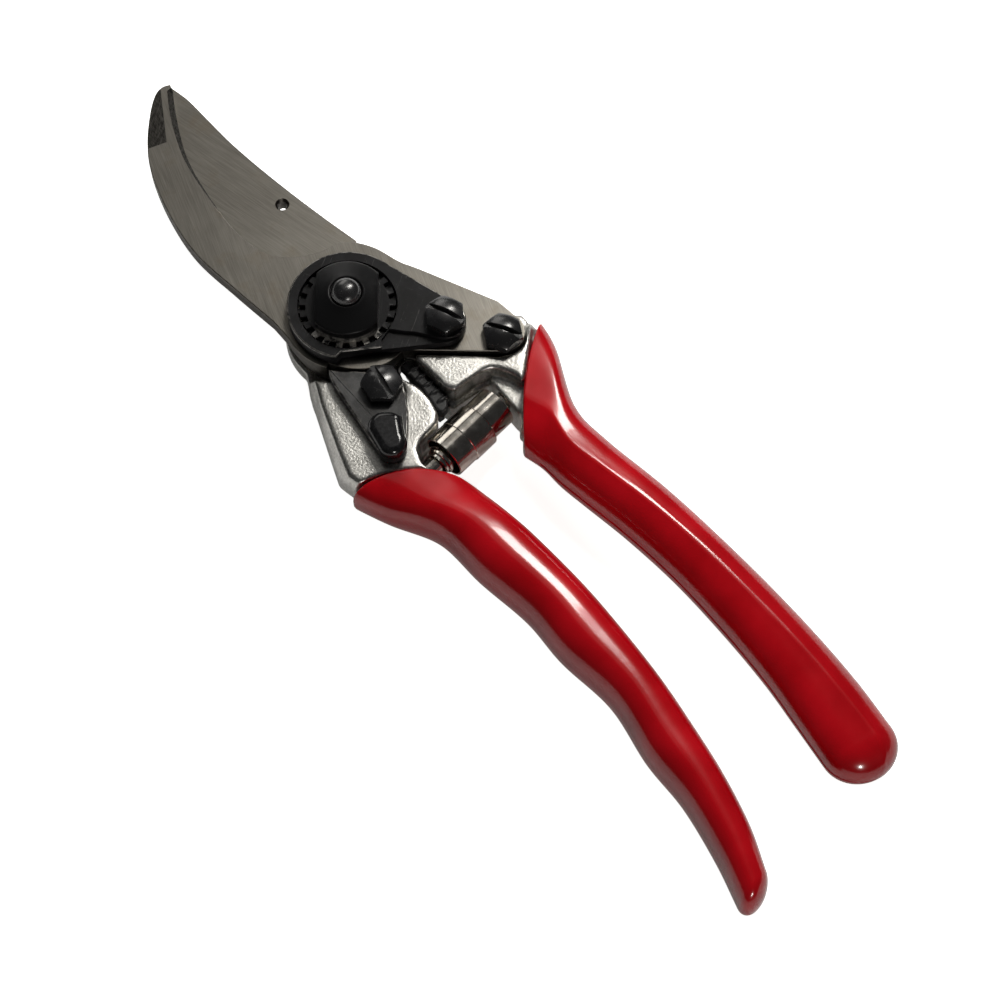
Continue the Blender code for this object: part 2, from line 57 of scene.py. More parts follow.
# %% [markdown]
# ## The camera
# The tool is shown from above, tilted back a quarter of the way to the horizon, from arm's
# length. A camera is only a matrix: its columns are the directions of its right, its up and
# its back. A long lens is used because the shears should look as flat as they do in the hand.

# %% Camera
CAMERA_RIGHT = Vector((0.7848, -0.6198, 0.0))
CAMERA_UP = Vector((0.5617, 0.7112, 0.4226))
CAMERA_BACK = Vector((-0.2619, -0.3317, 0.9063))
CAMERA_PLACE = Vector((-0.1363, -0.2219, 0.4788))
FIELD_OF_VIEW = math.radians(21.48)


def placed(name, data):
    """A new object in the scene."""
    made = bpy.data.objects.new(name, data)
    bpy.context.scene.collection.objects.link(made)
    return made


camera_data = bpy.data.cameras.new("camera")
camera_data.sensor_fit = "HORIZONTAL"
camera_data.angle = FIELD_OF_VIEW
camera_data.clip_start = 0.01
camera = placed("camera", camera_data)
turn = Matrix((CAMERA_RIGHT, CAMERA_UP, CAMERA_BACK)).transposed().to_4x4()
camera.matrix_world = Matrix.Translation(CAMERA_PLACE) @ turn
bpy.context.scene.camera = camera
print("camera lens", round(camera_data.lens, 1), "mm")

# %% [markdown]
# ## The floor and the lights
# The floor is white paper that glows, so the shadow on it stays faint. Reflections see a dim
# bench in its place, since bright paper would bleach the sides of the steel. A window to the
# right draws the long highlights down the handles, a small lamp in front lights the domes,
# and a large dim ceiling fills the flat steel.


# %% Floor and lights
MIDDLE = Vector((0.0, -0.045, 0.01))


def soft_box(name, direction, distance, size, watts, colour=(1, 1, 1)):
    """A rectangular studio lamp, seen in a direction from the tool's middle; its first side
    lies square to the handles and its second along them. Places and sizes are in metres."""
    data = bpy.data.lights.new(name, "AREA")
    data.shape = "RECTANGLE"
    data.size, data.size_y = size
    data.energy = watts
    data.color = colour
    lamp = placed(name, data)
    back = Vector(direction).normalized()
    right = Vector((0, 1, 0)).cross(back).normalized()
    axes = Matrix((right, back.cross(right), back)).transposed().to_4x4()
    lamp.matrix_world = Matrix.Translation(MIDDLE + back * distance) @ axes
    return lamp


soft_box("window", (0.56, 0.29, 0.777), 0.9, (0.34, 0.12), 3.2, (1.0, 0.97, 0.92))
soft_box("front", (-0.37, -0.83, 0.42), 0.75, (0.07, 0.07), 1.3, (1.0, 0.97, 0.93))
soft_box("ceiling", (0.262, 0.40, 0.906), 1.2, (0.7, 0.7), 0.40, (1.0, 0.98, 0.94))
soft_box("back_card", (0.35, 0.85, 0.40), 0.8, (0.5, 0.3), 0.7, (1.0, 0.97, 0.92))
wash = soft_box("wash", (0.55, 0.70, 0.60), 0.40, (0.2, 0.2), 0.75)
wash.visible_glossy = False  # it lights the red coats without a second highlight

world = bpy.data.worlds.new("studio")
world.use_nodes = True
background = world.node_tree.nodes["Background"].inputs
background["Color"].default_value = (0.96, 0.97, 1.0, 1)
background["Strength"].default_value = 0.03
bpy.context.scene.world = world
bpy.context.scene.view_settings.view_transform = "Standard"

FLOOR_SIDE = 6.0
PAPER_Z, BENCH_Z = -0.0004, -0.0003  # just under the tool
PAPER_GLOW, BENCH_GLOW = 0.93, 0.10


def sheet(name, height, glow):
    """A wide level sheet that glows."""
    reach = FLOOR_SIDE / 2
    mesh = bpy.data.meshes.new(name)
    corners = [(-reach, -reach), (reach, -reach), (reach, reach), (-reach, reach)]
    mesh.from_pydata([(x, y, height) for x, y in corners], [], [(0, 1, 2, 3)])
    paper = bpy.data.materials.new(name)
    paper.use_nodes = True
    shader = paper.node_tree.nodes["Principled BSDF"]
    shader.inputs["Base Color"].default_value = (0.9, 0.9, 0.9, 1)
    shader.inputs["Roughness"].default_value = 0.9
    shader.inputs["Emission Color"].default_value = (1, 1, 0.98, 1)
    shader.inputs["Emission Strength"].default_value = glow
    mesh.materials.append(paper)
    return placed(name, mesh)


floor = sheet("white_paper", PAPER_Z, PAPER_GLOW)
floor.visible_glossy = False
floor.visible_diffuse = False
bench = sheet("dim_bench", BENCH_Z, BENCH_GLOW)
bench.visible_camera = False
bench.visible_diffuse = False
bench.visible_shadow = False

# %% [markdown]
# ## Node trees as sums
# A material or a Geometry Nodes tree is a graph, and a graph is easier to read as a sum. A
# Link stands for one output socket: adding or multiplying Links adds Math nodes, and add()
# makes any other node from its type, the values of its sockets and its settings.


# %% Node helpers
class Link:
    """An output socket that takes part in Python sums."""

    def __init__(self, graph, socket):
        self.graph = graph
        self.socket = socket

    def maths(self, operation, *terms):
        return self.graph.add("ShaderNodeMath", dict(enumerate(terms)), operation=operation)

    def __add__(self, other):
        return self.maths("ADD", self, other)

    def __sub__(self, other):
        return self.maths("SUBTRACT", self, other)

    def __rsub__(self, other):
        return self.maths("SUBTRACT", other, self)

    def __mul__(self, other):
        return self.maths("MULTIPLY", self, other)

    def __truediv__(self, other):
        return self.maths("DIVIDE", self, other)

    __radd__ = __add__
    __rmul__ = __mul__


class Graph:
    """A node tree with one way to add a node."""

    def __init__(self, tree):
        self.tree = tree

    def add(self, kind, inputs=None, output=0, **settings):
        node = self.tree.nodes.new(kind)
        for name, value in settings.items():
            setattr(node, name, value)
        for key, value in (inputs or {}).items():
            socket = self.find(node.inputs, key)
            if isinstance(value, Link):
                self.tree.links.new(value.socket, socket)
            else:
                socket.default_value = value
        return Link(self, self.find(node.outputs, output))

    @staticmethod
    def find(sockets, key):
        """A socket by its name or number, among those that the node's settings leave on."""
        usable = [s for s in sockets if s.enabled]
        if isinstance(key, int):
            return usable[key]
        return next(s for s in usable if s.name == key)


class Finish(Graph):
    """A material, with its pattern coordinates in millimetres of the object's own space."""

    def __init__(self, name, constants):
        self.material = bpy.data.materials.new(name)
        self.material.use_nodes = True
        super().__init__(self.material.node_tree)
        self.shader = self.tree.nodes["Principled BSDF"]
        for key, value in constants.items():
            self.shader.inputs[key].default_value = value
        place = self.add("ShaderNodeTexCoord", output="Object")
        self.mm = self.add("ShaderNodeVectorMath", {0: place, "Scale": 1 / MM}, operation="SCALE")

    def noise(self, scale, detail=3.0, rough=0.5, at=None):
        values = {"Vector": at or self.mm, "Scale": scale, "Detail": detail, "Roughness": rough}
        return self.add("ShaderNodeTexNoise", values)

    def band(self, value, low, high):
        """0 below low, 1 above high."""
        values = {"Value": value, "From Min": low, "From Max": high}
        return self.add("ShaderNodeMapRange", values, clamp=True)

    def along(self, angle, stretch):
        """Coordinates squeezed by stretch along the direction angle, for brush marks."""
        turned = self.add("ShaderNodeMapping", {"Vector": self.mm, "Rotation": (0, 0, -angle)})
        return self.add("ShaderNodeMapping", {"Vector": turned, "Scale": (1 / stretch, 1, 1)})

    def mix(self, first, second, share):
        values = {0: share, 1: (*first, 1) if isinstance(first, tuple) else first}
        values[2] = (*second, 1) if isinstance(second, tuple) else second
        return self.add("ShaderNodeMix", values, data_type="RGBA")

    def drive(self, socket, value):
        self.tree.links.new(value.socket, self.shader.inputs[socket])

    def done(self, colour, rough, normal):
        """Drives the three sockets that every finish varies, and gives the material."""
        self.drive("Base Color", colour)
        self.drive("Roughness", rough)
        self.drive("Normal", normal)
        return self.material

    def bump(self, height, depth_mm, strength=1.0, under=None):
        values = {"Height": height, "Distance": depth_mm * MM, "Strength": strength}
        if under:
            values["Normal"] = under
        return self.add("ShaderNodeBump", values)


print("helpers ready")

# %% [markdown]
# ## The steels
# Both blades are satin ground steel. The grinding wheel leaves fine parallel marks, which
# are noise squeezed along one direction. A ground facet at the tip and the walls of the
# plate are rougher, with coarser marks, and painted darker as painted shade. The marks
# drive colour, roughness and a bump of a few thousandths of a millimetre.


# %% Blade steels
def brushed_steel(name, degrees, dark, light):
    """Satin steel with brush marks at an angle, between two colours."""
    finish = Finish(name, {"Metallic": 1.0})
    angle = math.radians(degrees)
    fine = finish.noise(7.0, 2.0, 0.6, finish.along(angle, 40.0))
    broad = finish.noise(1.3, 3.0, 0.6, finish.along(angle + 0.06, 9.0))
    cloud = finish.noise(0.07, 2.0, 0.5)
    shade = finish.band(fine * 0.5 + broad * 0.2 + cloud * 0.3, 0.36, 0.64)
    stain = finish.band(finish.noise(0.16, 4.0, 0.6), 0.56, 0.74)
    base = finish.mix(dark, light, shade)
    brown = tuple(c * share for c, share in zip(dark, (0.95, 0.84, 0.7)))
    return finish.done(
        colour=finish.mix(base, brown, stain * 0.5),
        rough=0.27 + fine * 0.12 + stain * 0.05,
        normal=finish.bump(fine + broad * 0.3, 0.004, 0.45),
    )


def ground_steel(name, degrees, dark, light):
    """A coarser ground face with crossing marks."""
    finish = Finish(name, {"Metallic": 1.0})
    angle = math.radians(degrees)
    one = finish.noise(4.2, 2.0, 0.6, finish.along(angle, 9.0))
    two = finish.noise(4.8, 2.0, 0.6, finish.along(angle + 0.9, 9.0))
    mark = finish.band(one * 0.6 + two * 0.4, 0.38, 0.64)
    return finish.done(
        colour=finish.mix(dark, light, mark),
        rough=0.36 + mark * 0.16,
        normal=finish.bump(one + two, 0.02, 0.6),
    )


hook_steel = brushed_steel("hook_steel", 72, (0.17, 0.160, 0.141), (0.26, 0.247, 0.220))
blade_steel = brushed_steel("blade_steel", 104, (0.18, 0.169, 0.149), (0.27, 0.257, 0.228))
# Painted shade: the facet steel is the blade steel painted much darker, with coarser marks and more
# roughness
facet_steel = ground_steel("facet_steel", 40, (0.035, 0.033, 0.030), (0.12, 0.115, 0.105))
# Painted shade: the walls' steel is painted darker than the faces; it is also rougher, with coarser
# marks
wall_steel = ground_steel("wall_steel", 90, (0.05, 0.046, 0.04), (0.16, 0.15, 0.135))
print("steels:", hook_steel.name, blade_steel.name, facet_steel.name, wall_steel.name)

# %% [markdown]
# ## The blackened steel
# The nut, the lock segment, the screws and the catch are blackened steel, nearly black with
# a satin sheen and fine scratches. Corners rub bright: faces made by rounding a corner take
# a second material that wears through to steel in patches.


# %% Blackened steels
def blackened(name, tone, rough, shine, metal, speck=0.0, sheen=(0.16, 0.155, 0.15)):
    """Satin black with scratches and specks of uncoated metal, whose colour is sheen."""
    finish = Finish(name, {"Metallic": metal, "Specular IOR Level": shine})
    scratch = finish.noise(3.2, 2.0, 0.6, finish.along(math.radians(35), 14.0))
    cross = finish.noise(2.6, 2.0, 0.6, finish.along(math.radians(118), 12.0))
    grain = finish.noise(5.5, 3.0, 0.7)
    cloud = finish.noise(0.22, 3.0, 0.55)
    line = finish.band(scratch, 0.66, 0.72) * 0.5 + finish.band(cross, 0.68, 0.74) * 0.4
    spots = finish.band(grain, 0.60, 0.72) * speck
    patch = finish.band(cloud, 0.45, 0.75)
    black = finish.mix(tone, tuple(c * 2.2 for c in tone), patch)
    return finish.done(
        colour=finish.mix(black, sheen, line * 0.45 + spots),
        rough=rough + patch * 0.12 + grain * 0.10,
        normal=finish.bump(grain + line * 0.6, 0.012, 0.6),
    )


def worn_corner_finish():
    """A worn corner: uncoated steel in patches, black between them."""
    finish = Finish("worn_black", {})
    patch = finish.band(finish.noise(0.45, 4.0, 0.6), 0.42, 0.59)
    finish.drive("Metallic", 0.6 + patch * 0.4)
    return finish.done(
        colour=finish.mix((0.016, 0.016, 0.016), (0.30, 0.29, 0.27), patch),
        rough=0.42 - patch * 0.12,
        normal=finish.bump(finish.noise(5.0, 2.0), 0.01, 0.5),
    )


def nut_painted_light_finish():
    """Blackened steel, with painted light: bright steel patches on the front side of the teeth."""
    finish = Finish("worn_nut", {"Specular IOR Level": 0.15})
    place = finish.add("ShaderNodeSeparateXYZ", {"Vector": finish.mm})
    x, y, z = (Link(finish, place.socket.node.outputs[axis]) for axis in "XYZ")
    # Painted light: bright steel is painted in patches on the teeth's front side, below the cap.
    painted_front_light = finish.band(x * -0.62 - y * 0.785, 5.2, 7.6) * (1 - finish.band(z, 17.4, 18.2))
    patch = finish.band(finish.noise(0.8, 4.0, 0.6), 0.36, 0.56)
    grain = finish.noise(5.5, 3.0, 0.7)
    painted_light_patches = painted_front_light * patch
    finish.drive("Metallic", 0.35 + painted_light_patches * 0.65)
    return finish.done(
        colour=finish.mix((0.012, 0.012, 0.0125), (0.62, 0.60, 0.56), painted_light_patches),
        rough=0.28 + grain * 0.12,
        normal=finish.bump(grain, 0.012, 0.6),
    )


# The nut's black finish, with painted light on the front of its teeth
worn_nut = nut_painted_light_finish()
black_steel = blackened("black_steel", (0.007, 0.007, 0.0075), 0.34, shine=0.18, metal=0.1)
screw_steel = blackened("screw_steel", (0.012, 0.012, 0.0125), 0.17, shine=1.0, metal=0.0)
catch_steel = blackened("catch_steel", (0.045,) * 3, 0.30, 0.45, 0.75, 0.55, (0.30, 0.29, 0.27))
worn_black = worn_corner_finish()
print("blackened steels:", worn_nut.name, black_steel.name, screw_steel.name, catch_steel.name)

# %% [markdown]
# ## Casting, coating, nickel, plastic and rubber
# The handles are die-cast light alloy, tumbled so that the skin is pebbled and bright. The
# grips are dipped in a thick red plastic that dries glossy with slow waves. The spring is
# nickel-plated and mirrors everything near it.


# %% Casting
def cast_alloy_finish():
    finish = Finish("cast_alloy", {"Metallic": 1.0})
    pebble = finish.noise(2.1, 3.0, 0.55)
    fine = finish.noise(6.5, 2.0, 0.6)
    slow = finish.noise(0.25, 3.0, 0.5)
    pit = finish.band(finish.noise(3.4, 3.0, 0.6), 0.60, 0.70)
    light = finish.band(pebble * 0.6 + slow * 0.4, 0.38, 0.62)
    base = finish.mix((0.40, 0.395, 0.375), (0.68, 0.67, 0.64), light)
    return finish.done(
        colour=finish.mix(base, (0.33, 0.325, 0.31), pit * 0.45),
        rough=0.27 + pebble * 0.12 + pit * 0.12,
        normal=finish.bump(pebble, 0.07, 0.8, finish.bump(fine, 0.012, 0.5)),
    )


cast_alloy = cast_alloy_finish()
print("casting:", cast_alloy.name)


# %% Coating, nickel, plastic, rubber
def red_coating_finish():
    finish = Finish("red_coating", {"Coat Roughness": 0.05, "Coat IOR": 1.5})
    slow = finish.noise(0.09, 3.0, 0.5)
    skin = finish.noise(0.55, 2.0, 0.5)
    fleck = finish.band(finish.noise(7.0, 2.0), 0.70, 0.78)
    light = finish.band(slow, 0.35, 0.65)
    base = finish.mix((0.47, 0.0015, 0.006), (0.60, 0.003, 0.010), light)
    finish.drive("Coat Weight", 0.35 + slow * 0.2)
    return finish.done(
        colour=finish.mix(base, (0.42, 0.002, 0.006), fleck * 0.4),
        rough=0.16 + slow * 0.10,
        normal=finish.bump(slow * 2.0 + skin * 0.25, 0.10, 0.35),
    )


def nickel_finish():
    finish = Finish("nickel", {"Metallic": 1.0})
    dull = finish.noise(0.5, 3.0, 0.6)
    grain = finish.noise(4.0, 2.0, 0.6)
    light = finish.band(dull, 0.35, 0.65)
    return finish.done(
        colour=finish.mix((0.58, 0.53, 0.47), (0.78, 0.74, 0.68), light),
        rough=0.12 + finish.band(dull, 0.5, 0.75) * 0.10 + grain * 0.04,
        normal=finish.bump(dull + grain * 0.15, 0.02, 0.5),
    )


def plain_black(name, rough, pattern_scale, depth):
    """Moulded plastic or rubber, told apart by roughness and by the scale of its skin."""
    finish = Finish(name, {"Specular IOR Level": 0.5})
    skin = finish.noise(pattern_scale, 3.0, 0.6)
    light = finish.band(skin, 0.35, 0.7)
    return finish.done(
        colour=finish.mix((0.006, 0.006, 0.0065), (0.018, 0.018, 0.019), light),
        rough=rough + skin * 0.10,
        normal=finish.bump(skin, depth, 0.5),
    )


red_coating = red_coating_finish()
nickel = nickel_finish()
black_plastic = plain_black("black_plastic", 0.12, 1.2, 0.01)
black_rubber = plain_black("black_rubber", 0.38, 3.0, 0.03)
print("materials:", len(bpy.data.materials))

# %% [markdown]
# ## Shapes from outlines
# Most of the tool is sheet steel cut to an outline. Lofting copies of the outline, each
# drawn in a little, gives a plate whose corners are already rounded, and the ring of faces
# round its top can take a worn material. Everything is drawn in millimetres.


# %% Outline helpers
def arc(centre, radius, start, end, steps):
    """Points on an arc from start to end, in degrees."""
    turns = np.radians(np.linspace(start, end, steps + 1))
    return [(centre[0] + radius * math.cos(a), centre[1] + radius * math.sin(a)) for a in turns]


def ramp(start_r, end_r, start, end, steps):
    """Points about the pivot whose radius changes evenly."""
    shares = np.linspace(0, 1, steps + 1)
    radii = start_r + (end_r - start_r) * shares
    turns = np.radians(start + (end - start) * shares)
    return [(r * math.cos(a), r * math.sin(a)) for r, a in zip(radii, turns)]


def smooth(points, steps):
    """A Catmull-Rom curve through the points, ends included."""
    knots = [Vector(p) for p in points]
    knots = [knots[0] * 2 - knots[1]] + knots + [knots[-1] * 2 - knots[-2]]
    curve = []
    for i in range(1, len(knots) - 2):
        before, start, end, after = knots[i - 1 : i + 3]
        for t in np.arange(steps) / steps:
            point = start * 2 + (end - before) * t
            point += (before * 2 - start * 5 + end * 4 - after) * t**2
            point += (start * 3 - before - end * 3 + after) * t**3
            curve.append(tuple(point / 2))
    return curve + [tuple(knots[-2])]


def even(points, gap):
    """The closed outline with points about gap apart, its corners kept."""
    result = []
    for a, b in zip(points, points[1:] + points[:1]):
        start, end = Vector(a), Vector(b)
        if (end - start).length < gap * 0.15:
            continue
        count = max(1, round((end - start).length / gap))
        result += [tuple(start.lerp(end, i / count)) for i in range(count)]
    return result


def signed_area(points):
    flat = np.array(points)
    after = np.roll(flat, -1, 0)
    return float((flat[:, 0] * after[:, 1] - after[:, 0] * flat[:, 1]).sum() / 2)


def anticlockwise(points):
    return points[::-1] if signed_area(points) < 0 else points


def drawn_in(points, amounts):
    """The outline moved inwards, each point by its own amount."""
    flat = np.array(points, float)
    if signed_area(points) < 0:
        raise ValueError("outlines run anticlockwise")
    ahead = np.roll(flat, -1, 0) - flat
    ahead /= np.linalg.norm(ahead, axis=1)[:, None]
    inward = np.stack([-ahead[:, 1], ahead[:, 0]], 1)
    mean = inward + np.roll(inward, 1, 0)
    mean /= np.maximum(np.linalg.norm(mean, axis=1), 1e-6)[:, None]
    lean = np.clip((mean * inward).sum(1), 0.6, 1)
    return flat + mean * (np.array(amounts) / lean)[:, None]


print("outline helpers ready")

# %% [markdown]
# ## Making and joining meshes
# skin() stretches a surface over a stack of rings and closes both ends. cut() and join()
# are Boolean modifiers, applied at once. Smooth shading with sharp edges marked by angle
# keeps flat steel flat and rounded corners round.


# %% Mesh helpers
def finished(mesh_data, materials):
    """The mesh with these material slots in place of its own."""
    if mesh_data.materials:
        mesh_data.materials.clear()  # this sends every face back to the first slot
    for item in materials:
        mesh_data.materials.append(item)
    return mesh_data


def skin(name, rings, materials, ring_slots=None, closed=True):
    """A surface through rings of points in mm; ring_slots gives the material of each band."""
    mesh = bmesh.new()
    rows = [[mesh.verts.new(Vector(p) * MM) for p in ring] for ring in rings]
    for band, (low, high) in enumerate(zip(rows, rows[1:])):
        for i, vert in enumerate(low):
            after = (i + 1) % len(low)
            face = mesh.faces.new((vert, low[after], high[after], high[i]))
            if ring_slots:
                slot = ring_slots[band]
                face.material_index = slot[i] if isinstance(slot, list) else slot
    if closed:
        mesh.faces.new(rows[0][::-1])
        mesh.faces.new(rows[-1])
    bmesh.ops.recalc_face_normals(mesh, faces=mesh.faces)
    data = bpy.data.meshes.new(name)
    mesh.to_mesh(data)
    mesh.free()
    return placed(name, finished(data, materials))


def at(outline, z):
    return [(x, y, z) for x, y in outline]


def prism(name, outline, low, high, finish):
    """The outline drawn up from one height to another."""
    return skin(name, [at(outline, low), at(outline, high)], [finish])


def evaluated(piece):
    """Applies the modifiers of a piece to its mesh."""
    graph = bpy.context.evaluated_depsgraph_get()
    made = bpy.data.meshes.new_from_object(piece.evaluated_get(graph), depsgraph=graph)
    piece.modifiers.clear()
    piece.data = made
    return piece


def boolean(piece, other, operation):
    """Cut other from piece, join it on, or keep what they share; other is used up."""
    step = piece.modifiers.new(operation, "BOOLEAN")
    step.operation = operation
    step.solver = "EXACT"
    step.object = other
    evaluated(piece)
    bpy.data.objects.remove(other)
    return piece


def shade(piece, angle=30):
    """Smooth shading that keeps sharp corners, led by the big flat faces."""
    piece.data.shade_smooth()
    piece.data.set_sharp_from_angle(angle=math.radians(angle))
    weighted = piece.modifiers.new("weighted", "WEIGHTED_NORMAL")
    weighted.keep_sharp = True
    weighted.weight = 100
    return evaluated(piece)


def rounded_plate(name, outline, low, high, materials, top=0.25, bottom=0.15, top_slot=1, steps=3):
    """A flat plate whose corners are rounded by the radii top and bottom."""
    count = len(outline)
    rings, slots = [], []
    for i in range(steps + 1):
        angle = math.pi / 2 * i / steps
        ring = drawn_in(outline, [bottom * (1 - math.sin(angle))] * count)
        rings.append(at(ring, low + bottom * (1 - math.cos(angle))))
        slots.append(0)
    for i in range(steps + 1):
        angle = math.pi / 2 * i / steps
        ring = drawn_in(outline, [top * (1 - math.cos(angle))] * count)
        rings.append(at(ring, high - top * (1 - math.sin(angle))))
        slots.append(top_slot)
    return shade(skin(name, rings, materials, slots[:-1]), 32)


def turned(name, profile, centre, materials, steps=96, slots=None):
    """A solid of revolution about Z from (radius, z) pairs, bottom to top."""
    rings = [at(arc(centre, radius, 0, 360, steps)[:-1], z) for radius, z in profile]
    return shade(skin(name, rings, materials, slots), 32)


def settle(piece, body, slot, *nodes):
    """The piece rides on its body and stands for its solid nodes, which it hides. The argument slot
    is not used.
    """
    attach(piece, body)
    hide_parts(*nodes)
    triangles = sum(len(p.vertices) - 2 for p in piece.data.polygons)
    print(f"{piece.name}: {triangles} triangles on {body}")
    return piece


def drill(piece, centre, radius, low=-5, high=40, steps=48):
    hole = turned("drill", [(radius, low), (radius, high)], centre, piece.data.materials, steps)
    return boolean(piece, hole, "DIFFERENCE")


PIVOT_HOLE_R, SCREW_HOLE_R = 4.3, 2.5
# Heights of the layers, in mm from the back of the bolt's head
Z_BLADE, Z_HOOK, Z_SEGMENT, Z_CAP = 6.9, 10.5, 14.2, 17.0
BLADE_T, HOOK_T, SEGMENT_T = 3.3, 3.4, 2.8
Z_RIM, Z_CROWN = 20.0, 22.4
SEGMENT_SCREW, HOOK_SCREW, CATCH_SCREW = (13.3, -14.7), (21.0, -23.6), (-5.2, -18.1)
print("mesh helpers ready")

# %% [markdown]
# ## The hook blade
# The hook is a thick plate that holds the branch while the cutting blade passes behind it.
# Its inner edge is chamfered near the tip, and a facet is ground across the tip. The
# chamfer comes from drawing each point of the top outline in by its own amount, and the
# facet from cutting with a tilted wedge whose faces carry the ground finish. That finish
# is painted dark, as painted shade.

# %% Hook blade
outer = [(3.4, 66.8), (1.6, 67.3), (-0.7, 66.5), (-4.2, 63.4), (-8.8, 57.8), (-12.3, 51.2)]
outer = smooth(outer + [(-15.1, 41.2), (-16.3, 30.1), (-14.9, 18.5), (-13.2, 7.5)], 16)
DISC_R, NOTCH_R, HEEL_R = 13.3, 12.2, 14.2
disc = arc((0, 0), DISC_R, 170, 214, 40)
notch = ramp(NOTCH_R, HEEL_R, 214.5, 266, 48) + arc((0, 0), HEEL_R, 268, 284, 14)
arm_end = arc((21.6, -22.8), 4.5, 235, 380, 50)
heel = [(25.2, -16.8), (17.6, -1.6), (15.2, 2.9), (13.3, 8.4), (10.6, 12.3), (7.4, 14.2)]
heel = smooth(heel + [(3.8, 14.7)], 10)
inner = [(0.9, 15.9), (-2.5, 18.2), (-5.2, 21.8), (-6.7, 29.6), (-6.2, 39.1), (-4.2, 50.0)]
inner = smooth(inner + [(-0.1, 59.8), (3.0, 65.4)], 20)
hook_outline = even(outer + disc + notch + arm_end + heel + inner, 0.5)
inner_track = np.array(inner)
CHAMFER_START_Y, CHAMFER_FULL_Y, CHAMFER_W = 33.0, 58.0, 1.15
CHAMFER_LEAST = 0.12  # a narrower chamfer is left as a rounded corner
BACK_ROUND, TOP_ROUND = 0.15, 0.22


def chamfer_at(point):
    """How wide the inner chamfer is at a point of the outline."""
    near = np.linalg.norm(inner_track - np.array(point), axis=1).min()
    share = (point[1] - CHAMFER_START_Y) / (CHAMFER_FULL_Y - CHAMFER_START_Y)
    return CHAMFER_W * min(1, max(0, share)) if near < 0.3 else 0.0


widths = [chamfer_at(p) for p in hook_outline]
rings = [at(drawn_in(hook_outline, [BACK_ROUND] * len(widths)), Z_HOOK)]
rings.append(at(hook_outline, Z_HOOK + BACK_ROUND))
slots = [1, 1]
for share in (0, 1 / 3, 2 / 3, 1):
    corner_in = TOP_ROUND * (1 - math.cos(math.pi / 2 * share))
    corner_down = TOP_ROUND * (1 - math.sin(math.pi / 2 * share))
    inset = [w * share if w > CHAMFER_LEAST else corner_in for w in widths]
    drop = [w * 0.8 * (1 - share) if w > CHAMFER_LEAST else corner_down for w in widths]
    ring = drawn_in(hook_outline, inset)
    rings.append([(x, y, Z_HOOK + HOOK_T - d) for (x, y), d in zip(ring, drop)])
    slots.append([2 if w > CHAMFER_LEAST else 0 for w in widths])
hook = skin("hook_blade_plate", rings, [hook_steel, wall_steel, facet_steel], slots[:-1])

FACET_RIDGE = [Vector((-5.3, 55.5)), Vector((1.2, 66.9))]  # where the tip facet meets the top
FACET_SLOPE = math.tan(math.radians(7))
ridge_way = (FACET_RIDGE[1] - FACET_RIDGE[0]).normalized()
ridge_out = Vector((-ridge_way.y, ridge_way.x))
facet_corners = []
for along_ridge, away in ((0, 0), (20, 0), (20, 14), (-3.6, 14)):
    spot = FACET_RIDGE[0] + ridge_way * along_ridge + ridge_out * away
    facet_corners.append((spot.x, spot.y, Z_HOOK + HOOK_T + 0.02 - away * FACET_SLOPE))
wedge = skin("wedge", [facet_corners, [(x, y, 20) for x, y, _ in facet_corners]], [facet_steel])
hook = boolean(hook, wedge, "DIFFERENCE")
drill(hook, (0, 0), PIVOT_HOLE_R)
for place in (SEGMENT_SCREW, HOOK_SCREW):
    drill(hook, place, SCREW_HOLE_R)
settle(shade(hook, 20), UPPER, "hook_steel", "hook_blade")

# %% [markdown]
# ## The cutting blade
# The cutting blade is flat against the hook and hollow-ground behind its edge. What shows is
# the flat face between the hook and the straight spine, with a small hole near the spine.
# The bevel is made by drawing in only the back ring of the plate.

# %% Cutting blade
BEVEL_W = 5.0
WALL_ROUND = 0.12  # the small rounding of a back corner that isn't ground
BLADE_HEAD_R, SAP_HOLE_R = 12.4, 1.05
PIN, PIN_HOLE_R = (-5.5, -7.4), 1.9
spine = [(12.4, 14.2), (10.7, 21.7), (9.2, 29.0), (7.9, 36.2), (6.8, 43.3), (6.0, 50.1)]
spine = smooth(spine + [(5.6, 57.0), (5.2, 63.6), (4.2, 68.4)], 12)
edge = [(3.4, 67.8), (-2.4, 59.8), (-7.2, 49.0), (-9.2, 38.5), (-9.3, 28.5), (-7.9, 19.5)]
edge = smooth(edge, 24)
blade_outline = even(edge + arc((0, 0), BLADE_HEAD_R, 135, 397, 90) + spine, 0.5)
edge_track = np.array(edge)


def bevel_at(point):
    """How far the back of the edge is ground away at a point of the outline."""
    gaps = np.linalg.norm(edge_track - np.array(point), axis=1)
    share = int(gaps.argmin()) / (len(edge) - 1)
    return BEVEL_W * math.sin(math.pi * share) ** 0.5 if gaps.min() < 0.3 else WALL_ROUND


ground = [bevel_at(p) for p in blade_outline]
spine_round = [0.0 if g > 0.13 else 0.2 for g in ground]
bevel_top = [Z_BLADE + (BLADE_T - 0.25 if g > 0.13 else WALL_ROUND) for g in ground]
blade_rings = [
    at(drawn_in(blade_outline, ground), Z_BLADE),
    [(x, y, z) for (x, y), z in zip(blade_outline, bevel_top)],
    at(blade_outline, Z_BLADE + BLADE_T - 0.2),
    at(drawn_in(blade_outline, [r * 0.3 for r in spine_round]), Z_BLADE + BLADE_T - 0.06),
    at(drawn_in(blade_outline, spine_round), Z_BLADE + BLADE_T),
]
bevel_slots = [2 if g > 0.13 else 1 for g in ground]
blade_finishes = [blade_steel, wall_steel, facet_steel]
blade = skin("cutting_blade_plate", blade_rings, blade_finishes, [bevel_slots, 1, 0, 0])
SAP_HOLE = (5.6, 30.5)
sink = [(SAP_HOLE_R, 0), (SAP_HOLE_R, 9.6), (1.5, 10.25)]
